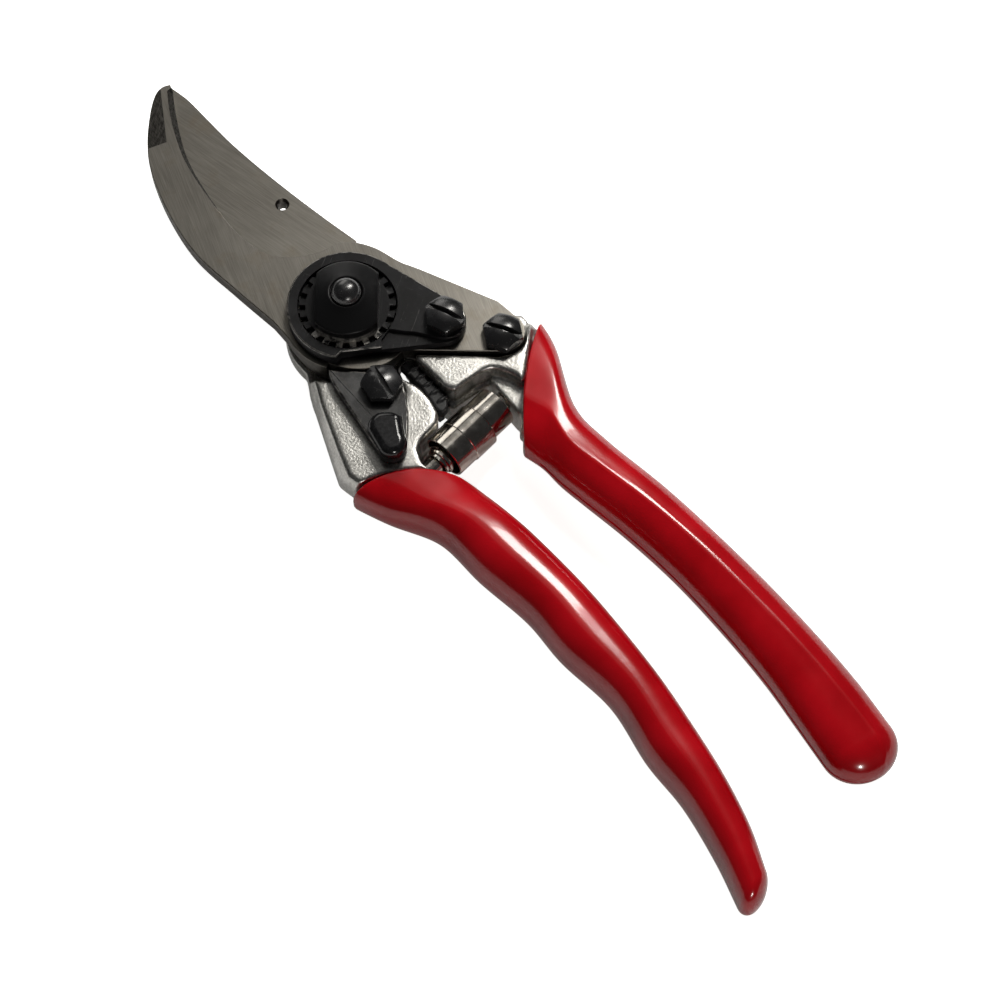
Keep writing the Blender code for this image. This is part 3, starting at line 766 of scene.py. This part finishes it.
# The hole's wall and countersink take the walls' steel, painted dark as painted shade
sink = turned("sink", sink, SAP_HOLE, [wall_steel], 48)
blade = boolean(blade, sink, "DIFFERENCE")
for place, radius in (((0, 0), PIVOT_HOLE_R), (PIN, PIN_HOLE_R)):
    drill(blade, place, radius)
settle(shade(blade, 25), LOWER, "blade_steel", "cutting_blade")

# %% [markdown]
# ## Rings along the handles
# Both handles are bent tubes, so they are described by stations: the left and right points
# of a cut across the handle, with its lowest and highest z. Smooth rails through the
# stations give a ring anywhere along a handle. The rings are superellipses, squarer at the
# mouth, where the coat's lip wraps the casting, than along the handle.

# %% Handle rings
LOWER_STATIONS = [
    ((-23.6, -31.0), (-3.6, -42.6), 1.0, 13.4),
    ((-20.5, -38.6), (-1.9, -47.6), 0.8, 14.1),
    ((-15.0, -48.4), (-0.6, -54.8), 0.4, 14.5),
    ((-13.8, -60.2), (0.3, -62.0), 0.2, 14.6),
    ((-11.8, -72.3), (1.1, -74.5), 0.0, 14.6),
    ((-11.8, -83.0), (1.1, -85.0), 0.0, 14.5),
    ((-10.2, -96.0), (0.5, -97.5), 0.0, 14.3),
    ((-12.0, -109.0), (-0.7, -108.5), 0.0, 14.0),
    ((-12.2, -120.0), (-2.5, -120.3), 0.1, 13.6),
    ((-14.2, -131.8), (-5.1, -131.0), 0.4, 13.1),
    ((-16.6, -140.8), (-8.4, -139.4), 0.9, 12.6),
]
UPPER_STATIONS = [
    ((10.2, -43.4), (30.9, -23.3), 1.0, 13.4),
    ((11.2, -49.0), (29.6, -30.2), 0.8, 14.1),
    ((11.7, -54.0), (24.2, -43.0), 0.4, 14.5),
    ((12.9, -60.5), (24.4, -53.0), 0.2, 14.6),
    ((14.8, -71.0), (26.8, -67.5), 0.0, 14.6),
    ((16.2, -84.0), (28.3, -81.5), 0.0, 14.5),
    ((16.5, -98.0), (29.4, -97.0), 0.0, 14.3),
    ((16.1, -110.5), (29.8, -111.0), 0.0, 14.0),
    ((15.0, -121.0), (29.6, -122.5), 0.2, 13.5),
    ((13.9, -130.5), (28.7, -132.9), 0.7, 12.9),
]
LOWER_BULGE, UPPER_BULGE = 2.6, 1.2  # how far the middle of each mouth reaches forward
RING_POINTS = 96
FINE = 24
ROUNDNESS = 0.85  # of the rings; 1 is an ellipse, less is squarer
MOUTH_ROUNDNESS = 0.62
MOUTH_FADE = 0.12  # share of the grip over which the mouth's shape dies away
CORNER_R = 2.2
GRIP_LENGTH = 112


def rails_of(stations):
    """Smooth left, right and height rails through the stations."""
    rows = [(*left, *right, low, high) for left, right, low, high in stations]
    rails = [[Vector((*row[0:2], 0)) for row in rows], [Vector((*row[2:4], 0)) for row in rows]]
    rails.append([Vector((row[4], row[5], 0)) for row in rows])
    return [[Vector(p) for p in smooth(rail, FINE)] for rail in rails]


def ring_at(rails, share, inset, scale=1.0, bulge=0.0, push=0.0, ridge=None, corner=CORNER_R):
    """One ring across a handle, at a share of its length and pushed on by some mm. Close to
    the mouth the ring is narrower, which rounds the mouth's two corners."""
    count = len(rails[0]) - 1
    place = min(max(share, 0), 1) * count
    low = min(int(place), count - 1)
    left, right, level = [r[low].lerp(r[low + 1], place - low) for r in rails]
    ahead = Vector((-(right - left).y, (right - left).x, 0)).normalized()
    middle = (left + right) / 2 - ahead * push
    set_back = min(max(share * GRIP_LENGTH + push, 0), corner)
    narrow = corner - math.sqrt(corner**2 - (corner - set_back) ** 2)
    half = (right - left).normalized() * ((right - left).length / 2 - inset - narrow) * scale
    half_z = ((level.y - level.x) / 2 - inset) * scale
    fade = max(0, 1 - share / MOUTH_FADE)
    fade *= fade * (3 - 2 * fade)
    power = ROUNDNESS + (MOUTH_ROUNDNESS - ROUNDNESS) * fade
    ring = []
    for step in range(RING_POINTS):
        angle = math.tau * step / RING_POINTS
        across = math.copysign(abs(math.cos(angle)) ** power, math.cos(angle))
        up = math.copysign(abs(math.sin(angle)) ** power, math.sin(angle))
        lift = ridge(share, across, up) if ridge else 0.0
        point = middle - half * across + ahead * bulge * fade * (1 - across**2)
        ring.append((point.x, point.y, (level.x + level.y) / 2 + half_z * up + lift * scale))
    return ring


# %% [markdown]
# ## The castings
# A casting has no sharp corner: the metal flows round a radius everywhere. The solid part
# has its planes in the right places, so a copy of it is filled with small cubes by a voxel
# remesh, and smoothed until its corners are as soft as cast ones.


# %% Castings
def tang(stations):
    """The space that a casting may fill: a rounded tang in the grip, widening towards the head."""
    rails = rails_of(stations)
    steps = [(0.30, 0, 1.2), (0.06, 0, 1.2), (0, 0, 1.0)]  # shares, pushes and insets
    steps += [(0, -1.5, 0.0), (0, -4, -2.0), (0, -8, -5.0), (0, -70, -60)]
    rings = [ring_at(rails, share, inset, 1, 0, push, None, 1.2) for share, push, inset in steps]
    return skin("tang", rings, [cast_alloy])


def softened(name, node, space, cuts=(), webs=()):
    """A copy of a solid node kept inside a space, with its corners worn soft."""
    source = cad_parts[node]
    mesh = bmesh.new()
    mesh.from_mesh(source.data)
    bmesh.ops.remove_doubles(mesh, verts=mesh.verts, dist=1e-7)
    data = bpy.data.meshes.new(name)
    mesh.to_mesh(data)
    mesh.free()
    piece = placed(name, finished(data, [cast_alloy]))
    boolean(piece, space, "INTERSECT")
    for cut in cuts:
        boolean(piece, cut, "DIFFERENCE")
    for web in webs:
        boolean(piece, web, "UNION")
    remesh = piece.modifiers.new("remesh", "REMESH")
    remesh.mode = "VOXEL"
    remesh.voxel_size = VOXEL * MM
    soft = piece.modifiers.new("soften", "SMOOTH")
    soft.factor = 0.5
    soft.iterations = ROUNDS
    evaluated(piece)
    piece.data.shade_smooth()
    return piece


VOXEL, ROUNDS = 0.28, 26  # the size of a cube in mm, and how many times it is smoothed
SPRING_FROM, SPRING_TO = Vector((-3.4, -35.2, 7.5)), Vector((12.6, -32.9, 7.5))
SPRING_AXIS = (SPRING_TO - SPRING_FROM).normalized()


def beside_spring(radius, start, end):
    """A round bar on the spring's axis, between two distances along it."""
    side = Vector((0, 0, 1)).cross(SPRING_AXIS)
    rings = []
    for distance in (start, end):
        middle = SPRING_FROM + SPRING_AXIS * distance
        turns = np.linspace(0, math.tau, 49)[:-1]
        spokes = [side * math.cos(a) + Vector((0, 0, math.sin(a))) for a in turns]
        rings.append([tuple(middle + spoke * radius) for spoke in spokes])
    return skin("beside_spring", rings, [cast_alloy])


web = [(-1.2, -30.4), (-5.0, -30.4), (-8.6, -33.0), (-9.0, -36.6), (-4.2, -39.5), (-4.0, -33.5)]
web = prism("web", web, 1.4, 2.6, cast_alloy)
pocket = beside_spring(5.2, -1.5, 8)
lower_space = tang(LOWER_STATIONS)
lower_casting = softened("lower_casting_body", "lower_casting", lower_space, [pocket], [web])
settle(lower_casting, LOWER, "cast_alloy", "lower_casting")
upper_casting = softened("upper_casting_body", "upper_casting", tang(UPPER_STATIONS))
settle(upper_casting, UPPER, "cast_alloy", "upper_casting")

# %% [markdown]
# ## The grips
# Each grip is the skin left by dipping the handle in red plastic. It follows the handle's
# rings from the mouth to the rounded tail, and its lip rolls over on to the casting. A soft
# ridge runs along the top of each.


# %% Grips
COAT_WALL = 1.6


def dipped_grip(name, stations, bulge, ridge):
    """Inner skin, rolled lip, outer skin and rounded tail as one closed surface."""
    rails = rails_of(stations)
    wall = COAT_WALL
    inner_rings = [ring_at(rails, s, wall, 1, bulge) for s in np.linspace(0.6, 0.012, 50)]
    lip = []
    for angle in np.linspace(-math.pi / 2, math.pi / 2, 9)[1:-1]:
        depth = wall / 2 * (1 - math.sin(angle))
        lip.append(ring_at(rails, 0, depth, 1, bulge, wall / 2 * (1 - math.cos(angle)), ridge))
    near_mouth = np.linspace(wall / 2 / GRIP_LENGTH, 0.06, 14)
    shares = np.concatenate([near_mouth, np.linspace(0.06, 1, 190)[1:]])
    outer_rings = [ring_at(rails, s, 0, 1, bulge, 0, ridge) for s in shares]
    depth = (rails[0][-1] - rails[1][-1]).length / 2
    left, right, _ = rails
    along = (left[-1] + right[-1] - left[-8] - right[-8]).normalized()
    tail = []
    for angle in np.linspace(0, math.pi / 2, 22)[1:-1]:
        shift = along * depth * math.sin(angle) * 0.94
        ring = ring_at(rails, 1, 0, math.cos(angle), 0, 0, ridge)
        tail.append([tuple(Vector(p) + shift) for p in ring])
    made = skin(name, inner_rings + lip + outer_rings + tail, [red_coating])
    made.data.shade_smooth()
    return made


def lower_ridge(share, across, up):
    """A soft ridge along the top of the lower grip."""
    if up <= 0:
        return 0.0
    return 0.30 * math.exp(-(((across - 0.10) / 0.35) ** 2)) - 0.30


def upper_ridge(share, across, up):
    """A crease that runs down the top of the upper grip."""
    if up <= 0:
        return 0.0
    middle = 0.35 - 0.7 * share
    return 0.75 * math.exp(-abs(across - middle) / 0.28) - 0.75


lower_grip = dipped_grip("lower_grip_coat", LOWER_STATIONS, LOWER_BULGE, lower_ridge)
settle(lower_grip, LOWER, "red_coating", "lower_grip")
upper_grip = dipped_grip("upper_grip_coat", UPPER_STATIONS, UPPER_BULGE, upper_ridge)
settle(upper_grip, UPPER, "red_coating", "upper_grip")

# %% [markdown]
# ## The nut, made by Geometry Nodes
# The tension nut's 21 square teeth key into the lock segment. The tree puts one small block
# on each point of a circle. With bigger blocks it gives the cutter for the segment's notches.


# %% Geometry Nodes helpers
class Recipe(Graph):
    """A Geometry Nodes tree with named inputs, run once to give a plain mesh."""

    KINDS = {float: "NodeSocketFloat", int: "NodeSocketInt", tuple: "NodeSocketVector"}

    def __init__(self, name, **defaults):
        super().__init__(bpy.data.node_groups.new(name, "GeometryNodeTree"))
        self.inputs = {}
        for key, value in defaults.items():
            kind = self.KINDS[type(value)]
            socket = self.tree.interface.new_socket(key, in_out="INPUT", socket_type=kind)
            socket.default_value = value
            self.inputs[key] = socket
        self.tree.interface.new_socket("Mesh", in_out="OUTPUT", socket_type="NodeSocketGeometry")
        self.source = self.tree.nodes.new("NodeGroupInput")

    def __getitem__(self, key):
        return Link(self, self.source.outputs[key])

    def vector(self, **sides):
        """A vector whose sides are given in mm."""
        return self.add("ShaderNodeCombineXYZ", {axis: side * MM for axis, side in sides.items()})

    def close(self, geometry, material):
        """Realize the instances, set the material and end the tree."""
        plain = self.add("GeometryNodeRealizeInstances", {0: geometry})
        done = self.add("GeometryNodeSetMaterial", {"Geometry": plain, "Material": material})
        self.tree.links.new(done.socket, self.tree.nodes.new("NodeGroupOutput").inputs[0])

    def run(self, name, **values):
        """A new object with the plain mesh that the tree gives for these values."""
        piece = placed(name, bpy.data.meshes.new(name))
        step = piece.modifiers.new("recipe", "NODES")
        step.node_group = self.tree
        for key, value in values.items():
            step[self.inputs[key].identifier] = value
        return evaluated(piece)


def toothed_ring_recipe():
    """Blocks on a circle, unturned ones facing outwards."""
    names = {"Count": 21, "Radius": 9.0, "Depth": 1.4, "Width": 1.2, "Height": 2.4, "Middle": 15.0}
    recipe = Recipe("toothed_ring", **names)
    circle = {"Vertices": recipe["Count"], "Radius": recipe["Radius"] * MM}
    ring = recipe.add("GeometryNodeMeshCircle", circle)
    lift = recipe.vector(Z=recipe["Middle"])
    place = recipe.add("GeometryNodeInputPosition")
    aim = recipe.add("FunctionNodeAlignEulerToVector", {"Vector": place}, axis="X")
    size = recipe.vector(X=recipe["Depth"], Y=recipe["Width"], Z=recipe["Height"])
    block = recipe.add("GeometryNodeMeshCube", {"Size": size})
    values = {"Points": ring, "Instance": block, "Rotation": aim}
    teeth = recipe.add("GeometryNodeInstanceOnPoints", values)
    values = {"Instances": teeth, "Translation": lift, "Local Space": False}
    teeth = recipe.add("GeometryNodeTranslateInstances", values)
    recipe.close(teeth, black_steel)
    return recipe


toothed_ring = toothed_ring_recipe()
print("recipe inputs:", ", ".join(toothed_ring.inputs))

# %% Tension nut
NUT_TURN = math.radians(-38.3)
TEETH, TOOTH_TIP, TOOTH_ROOT, TOOTH_H = 21, 9.7, 8.3, 2.4


def toothed(name, tip, inside, width, height, middle):
    """The ring of blocks between two radii."""
    sides = {"Radius": (tip + inside) / 2, "Depth": tip - inside, "Width": width}
    return toothed_ring.run(name, Count=TEETH, Height=height, Middle=middle, **sides)


nut_side = [(TOOTH_ROOT + 0.15, z) for z in (Z_SEGMENT, Z_SEGMENT + TOOTH_H)]
nut = turned("tension_nut_body", nut_side, (0, 0), [worn_nut])
teeth = toothed("teeth", TOOTH_TIP, 7.6, 1.3, TOOTH_H, Z_SEGMENT + TOOTH_H / 2)
finished(teeth.data, [worn_nut])
nut = boolean(nut, teeth, "UNION")
cap_profile = [(8.4, Z_SEGMENT + 0.5), (8.4, Z_RIM - 0.55), (8.34, Z_RIM - 0.3)]
cap_profile += [(8.15, Z_RIM - 0.1), (7.8, Z_RIM + 0.06), (6.6, Z_RIM + 0.65), (5.2, Z_RIM + 1.3)]
cap_profile += [(4.2, Z_CROWN - 0.62), (3.85, Z_CROWN - 0.42), (3.6, Z_CROWN - 0.3)]
cap_profile += [(3.4, Z_CROWN - 0.34), (3.28, Z_CROWN - 0.6)]
cap = turned("cap", cap_profile, (0, 0), [worn_nut], 128)
for side in (-1, 1):
    across = Vector((math.cos(NUT_TURN), math.sin(NUT_TURN))) * side
    along = Vector((-across.y, across.x)) * 12
    near, far = across * 6.2, across * 20
    corners = [tuple(c) for c in (near - along, far - along, far + along, near + along)]
    cap = boolean(cap, prism("flat", corners, Z_CAP - 0.4, 40, worn_nut), "DIFFERENCE")
nut = boolean(nut, cap, "UNION")
drill(nut, (0, 0), 3.25, Z_CAP - 0.3)
drill(nut, (0, 0), PIVOT_HOLE_R, -5, Z_CAP + 0.3)


def bevelled(piece, width, slot, angle=35):
    """Rounds every sharp corner by width, in mm, and gives the new faces a material slot."""
    weld = piece.modifiers.new("weld", "WELD")
    weld.merge_threshold = 1e-6
    step = piece.modifiers.new("bevel", "BEVEL")
    step.width = width * MM
    step.segments = 2
    step.limit_method = "ANGLE"
    step.angle_limit = math.radians(angle)
    step.material = slot
    step.harden_normals = False
    evaluated(piece)
    return shade(piece, 40)


nut = bevelled(nut, 0.14, 0)
settle(nut, UPPER, "black_steel", "tension_nut")

# %% [markdown]
# ## The pivot bolt
# The bolt is one turned piece: a flat head at the back, a plain shank, and a domed end that
# stands in the middle of the nut. A profile of radii and heights, spun about Z, is all it
# needs, and a rounded shoulder catches the light as a thin ring.

# %% Pivot bolt
DOME_R, DOME_H = 2.86, 1.9
bolt_profile = [(7.2, 0.0), (7.7, 0.15), (8.0, 0.5), (8.0, 1.7), (7.8, 2.0), (4.0, 2.0)]
bolt_profile += [(4.0, Z_CAP), (3.05, Z_CAP + 0.01), (3.05, Z_CROWN - 0.3)]
bolt_profile += [(3.0, Z_CROWN - 0.12), (2.9, Z_CROWN + 0.02)]
for angle in np.linspace(0.12, 1.5, 14):
    bolt_profile.append((DOME_R * math.cos(angle), Z_CROWN - 0.1 + DOME_H * math.sin(angle)))
bolt = turned("pivot_bolt", bolt_profile, (0, 0), [screw_steel], 128)
settle(bolt, UPPER, "black_steel", "center_bolt")

# %% [markdown]
# ## The lock segment
# The segment is a pear-shaped plate, notched inside to hold the nut's teeth, and screwed
# down at its narrow end. Along its lower side the plate is stamped thinner, which leaves a
# bright S-shaped step and a bright lower edge.

# %% Lock segment
SEGMENT_R, LEDGE_DEPTH = 12.2, 0.9
segment_outline = arc((0, 0), SEGMENT_R, 20, 218, 100) + [(-8.9, -8.2), (-7.4, -7.9)]
segment_outline = even(segment_outline + arc((12.8, -14.6), 4.7, 235, 385, 60), 0.5)
Z_SEGMENT_TOP = Z_SEGMENT + SEGMENT_T
layers, finishes = (Z_SEGMENT, Z_SEGMENT_TOP), [black_steel, worn_black]
segment = rounded_plate("lock_segment_plate", segment_outline, *layers, finishes, 0.3)
hole = turned("hole", [(TOOTH_ROOT + 0.3, 5), (TOOTH_ROOT + 0.3, 30)], (0, 0), [black_steel], 126)
notches = toothed("notches", TOOTH_TIP + 0.3, 7.6, 1.9, 20.0, 17.0)
segment = boolean(segment, boolean(hole, notches, "UNION"), "DIFFERENCE")
step_line = [(3.2, -9.6), (4.2, -10.7), (5.3, -11.9), (6.9, -13.4), (8.4, -15.4), (9.8, -17.3)]
step_line = smooth(step_line + [(11.3, -18.5), (13.4, -19.3), (16.0, -20.6)], 8)
ledge = anticlockwise(step_line + [(12.0, -24.0), (-2.0, -14.0), (0.5, -10.6)])
ledge = prism("ledge", ledge, Z_SEGMENT_TOP - LEDGE_DEPTH, 30, black_steel)
segment = boolean(segment, ledge, "DIFFERENCE")
counterbore = [(10.05, Z_SEGMENT + 1.3), (10.25, 30)]
counterbore = turned("counterbore", counterbore, (0, 0), [black_steel], 126)
segment = boolean(segment, counterbore, "DIFFERENCE")
drill(segment, SEGMENT_SCREW, SCREW_HOLE_R)
segment = bevelled(segment, 0.16, 1, 50)
settle(segment, UPPER, "black_steel", "lock_segment")

# %% [markdown]
# ## Slotted hex screws, made by Geometry Nodes
# Three screws share one head: a hexagon with a domed top and a slot. The tree meets a
# hexagonal prism with a big sphere, which leaves the dome and the curved chamfers that a
# real turned hex head has, and then takes a bar away for the slot.


# %% Screws
def hex_screw_recipe():
    recipe = Recipe("hex_screw", Flats=7.4, Height=3.2, Dome=6.4, SlotWidth=1.1, SlotDepth=1.4)
    corner = recipe["Flats"] / math.sqrt(3)
    values = {"Vertices": 6, "Radius Top": corner * MM, "Radius Bottom": corner * MM}
    values["Depth"] = recipe["Height"] * MM
    hexagon = recipe.add("GeometryNodeMeshCone", values, "Mesh")
    values = {"Segments": 96, "Rings": 64, "Radius": recipe["Dome"] * MM}
    ball = recipe.add("GeometryNodeMeshUVSphere", values)
    sink = recipe.vector(Z=recipe["Height"] - recipe["Dome"])
    ball = recipe.add("GeometryNodeTransform", {"Geometry": ball, "Translation": sink})
    head = recipe.add("GeometryNodeMeshBoolean", operation="INTERSECT", solver="EXACT")
    for item in (hexagon, ball):
        recipe.tree.links.new(item.socket, Graph.find(head.socket.node.inputs, "Mesh"))
    sides = {"X": 30 * MM, "Y": recipe["SlotWidth"] * MM, "Z": recipe["SlotDepth"] * (2 * MM)}
    bar_size = recipe.add("ShaderNodeCombineXYZ", sides)
    bar = recipe.add("GeometryNodeMeshCube", {"Size": bar_size})
    raise_bar = recipe.vector(Z=recipe["Height"])
    bar = recipe.add("GeometryNodeTransform", {"Geometry": bar, "Translation": raise_bar})
    parts = {"Mesh 1": head, "Mesh 2": bar}
    slotted = recipe.add("GeometryNodeMeshBoolean", parts, operation="DIFFERENCE", solver="EXACT")
    recipe.close(slotted, screw_steel)
    return recipe


hex_screw = hex_screw_recipe()
SHANK_R = 2.2


def screw(name, node, place, seat, slot_turn, body):
    """A screw head over its shank, turned so that its slot points the right way."""
    piece = hex_screw.run(name)
    finished(piece.data, [screw_steel, worn_black])
    spot = Matrix.Translation([v * MM for v in (*place, seat)])
    piece.data.transform(spot @ Matrix.Rotation(math.radians(slot_turn), 4, "Z"))
    shank = [(SHANK_R, 4.5), (SHANK_R, seat + 0.4)]
    shank = turned("shank", shank, place, [screw_steel], 48)
    piece = bevelled(boolean(piece, shank, "UNION"), 0.10, 1, 38)
    return settle(piece, body, "black_steel", node)


screw("segment_screw_head", "segment_screw", SEGMENT_SCREW, 17.3, -65, UPPER)
screw("hook_screw_head", "hook_blade_screw", HOOK_SCREW, 14.2, -58, UPPER)
screw("catch_screw_head", "catch_screw", CATCH_SCREW, 15.0, -98, LOWER)

# %% [markdown]
# ## The thumb catch
# The catch is a small plate that turns on its screw, with its nose at the hook blade's disc.
# A washer spaces it off the casting, and a moulded cap on its end takes the thumb.

# %% Thumb catch, washer and knob
nose = [(-11.7, -9.4), (-12.3, -11.5), (-14.2, -28.0)]
catch_side = smooth([(-6.9, -28.9), (-4.3, -25.5), (-2.3, -22.0), (-1.0, -18.6), (-1.4, -15.0)], 12)
hollow = arc((0, 0), 14.8, 262, 250, 14) + arc((0, 0), 13.9, 238, 217, 24)
catch_outline = even(nose + arc((-11.3, -29.4), 3.0, 175, 330, 40) + catch_side + hollow, 0.4)
layers, finishes = (12.3, 14.7), [catch_steel, worn_black]
catch = rounded_plate("thumb_catch_plate", catch_outline, *layers, finishes, 0.35)
drill(catch, CATCH_SCREW, SCREW_HOLE_R)
settle(shade(catch, 32), CATCH, "black_steel", "thumb_catch")

washer_profile = [(4.0, 11.45), (4.2, 11.6), (4.2, 11.9), (4.05, 12.0)]
washer = turned("catch_washer_ring", washer_profile, CATCH_SCREW, [black_steel], 72)
drill(washer, CATCH_SCREW, SCREW_HOLE_R)
settle(washer, LOWER, "black_steel", "catch_washer")

KNOB_FOOT, KNOB_TOP, KNOB_ROUND = 15.0, 17.5, 1.7
crest = smooth([(-13.6, -24.6), (-12.2, -23.2), (-9.9, -22.9), (-7.5, -24.5), (-6.4, -26.6)], 8)
knob_outline = arc((-11.5, -29.8), 3.0, -178, -10, 40) + [(-7.4, -28.2)] + crest[::-1]
knob_outline = anticlockwise(even(knob_outline, 0.3))
knob_rings = [at(knob_outline, KNOB_FOOT)]
for angle in np.linspace(0, math.pi / 2, 9):
    inset = KNOB_ROUND * (1 - math.cos(angle))
    ring = drawn_in(knob_outline, [inset] * len(knob_outline))
    knob_rings.append(at(ring, KNOB_TOP - KNOB_ROUND * (1 - math.sin(angle))))
knob = skin("catch_knob_cap", knob_rings, [black_plastic])
settle(shade(knob, 40), CATCH, "black_plastic", "catch_knob")

# %% [markdown]
# ## The volute spring, wound by Geometry Nodes
# The spring is a wide, thin strip wound round an axis. One tree winds a strip: each point of
# a line is turned about the axis by its share of the turns and moved along it, and a thin
# rectangle is swept along the result. Four windings make the spring, which is joined into
# one piece.


# %% Volute spring
def wound_strip_recipe():
    names = {"Turns": 2.0, "StartRadius": 3.0, "EndRadius": 4.5, "Start": 0.0, "End": 4.0}
    recipe = Recipe("wound_strip", **names, Width=5.0, Thickness=0.45, Points=160)
    line = recipe.add("GeometryNodeCurvePrimitiveLine", {"End": (0.0, 0.0, 1.0)})
    line = recipe.add("GeometryNodeResampleCurve", {"Curve": line, "Count": recipe["Points"]})
    share = recipe.add("GeometryNodeSplineParameter", output="Factor")
    angle = share * recipe["Turns"] * math.tau
    radius = recipe["StartRadius"] + (recipe["EndRadius"] - recipe["StartRadius"]) * share
    axial = recipe["Start"] + (recipe["End"] - recipe["Start"]) * share
    across, up = (angle.maths(operation, angle) * radius for operation in ("COSINE", "SINE"))
    spot = recipe.vector(X=across, Y=up, Z=axial)
    coil = recipe.add("GeometryNodeSetPosition", {"Geometry": line, "Position": spot})
    coil = recipe.add("GeometryNodeSetCurveNormal", {"Curve": coil}, mode="Z_UP")
    sizes = {"Width": recipe["Thickness"] * MM, "Height": recipe["Width"] * MM}
    profile = recipe.add("GeometryNodeCurvePrimitiveQuadrilateral", sizes)
    profile = recipe.add("GeometryNodeFilletCurve", {"Curve": profile, "Radius": 0.0001})
    values = {"Curve": coil, "Profile Curve": profile, "Fill Caps": True}
    recipe.close(recipe.add("GeometryNodeCurveToMesh", values), nickel)
    return recipe


wound_strip = wound_strip_recipe()
windings = [
    dict(Turns=1.04, StartRadius=4.62, EndRadius=4.76, Start=7.75, End=7.95, Width=5.4),
    dict(Turns=1.06, StartRadius=4.40, EndRadius=4.62, Start=2.75, End=2.95, Width=4.9),
    dict(Turns=2.4, StartRadius=4.45, EndRadius=2.4, Start=13.3, End=13.5, Width=5.4),
    dict(Turns=2.2, StartRadius=2.2, EndRadius=3.2, Start=1.0, End=2.6, Width=5.6),
]
coils = [wound_strip.run(f"winding_{i}", **values) for i, values in enumerate(windings)]
spring = coils[0]
mesh = bmesh.new()
for coil in coils:
    mesh.from_mesh(coil.data)
spring_turn = SPRING_AXIS.to_track_quat("Z", "Y").to_matrix().to_4x4()
spring_place = Matrix.Translation(SPRING_FROM * MM) @ spring_turn
bmesh.ops.transform(mesh, matrix=spring_place, verts=mesh.verts)
bmesh.ops.recalc_face_normals(mesh, faces=mesh.faces)
mesh.to_mesh(spring.data)
mesh.free()
for coil in coils[1:]:
    bpy.data.objects.remove(coil)
spring.name = "volute_spring_coil"
shade(spring, 35)
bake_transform(spring)
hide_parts("volute_spring")
print("spring:", len(spring.data.polygons), "faces")

# %% [markdown]
# ## The rubber stop, with ribs made by Geometry Nodes
# A strip of black rubber softens the closing of the castings. Its top is ribbed: one small
# rounded rib stands on each point of a line, and the strip under them is a rounded plate.


# %% Rubber stop
def rib_row_recipe():
    recipe = Recipe("rib_row", Count=5, Radius=0.7, Start=(0.0, 0.0, 0.0), End=(0.0, -8.0, 0.0))
    ends = {}
    for key in ("Start", "End"):
        values = {0: recipe[key], "Scale": MM}
        ends[key] = recipe.add("ShaderNodeVectorMath", values, operation="SCALE")
    line = recipe.add("GeometryNodeCurvePrimitiveLine", ends)
    values = {"Curve": line, "Count": recipe["Count"]}
    dots = recipe.add("GeometryNodeCurveToPoints", values, mode="COUNT")
    values = {"Segments": 20, "Rings": 12, "Radius": recipe["Radius"] * MM}
    ball = recipe.add("GeometryNodeMeshUVSphere", values)
    values = {"Points": dots, "Instance": ball, "Scale": (1.9, 0.8, 0.8)}
    ribs = recipe.add("GeometryNodeInstanceOnPoints", values)
    recipe.close(ribs, black_rubber)
    return recipe


rib_row = rib_row_recipe()
stop_outline = [(1.6, -15.0), (2.0, -21.0), (1.3, -27.6), (2.0, -28.6), (3.4, -28.2)]
stop_outline += [(4.8, -26.4), (4.2, -20.0), (4.1, -15.4), (3.2, -14.7)]
stop_outline = even(anticlockwise(stop_outline), 0.4)
stop = rounded_plate("rubber_stop", stop_outline, 8.5, 11.0, [black_rubber, black_rubber], 0.5)
foot = [(2.0, -17.2), (2.0, -27.2), (3.3, -27.2), (3.5, -25.6), (3.1, -17.2)]
stop = boolean(stop, prism("foot", foot, 4.2, 9.0, black_rubber), "UNION")
ribs = rib_row.run("ribs", Count=5, Radius=0.75, Start=(3.1, -17.2, 10.8), End=(3.4, -26.2, 10.8))
stop = shade(boolean(stop, ribs, "UNION"), 45)
settle(stop, LOWER, "black_rubber", "shock_cushion")

# %% [markdown]
# ## Small parts kept as they are
# The pegs that hold the spring and the keying pin have simple shapes that the solid parts
# already give. Only their materials change.

# %% Small parts
for node, finish in (
    ("upper_spring_peg", nickel),
    ("lower_spring_peg", nickel),
    ("blade_pin", black_steel),
):
    finished(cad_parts[node].data, [finish])
    print(node, "->", finish.name)
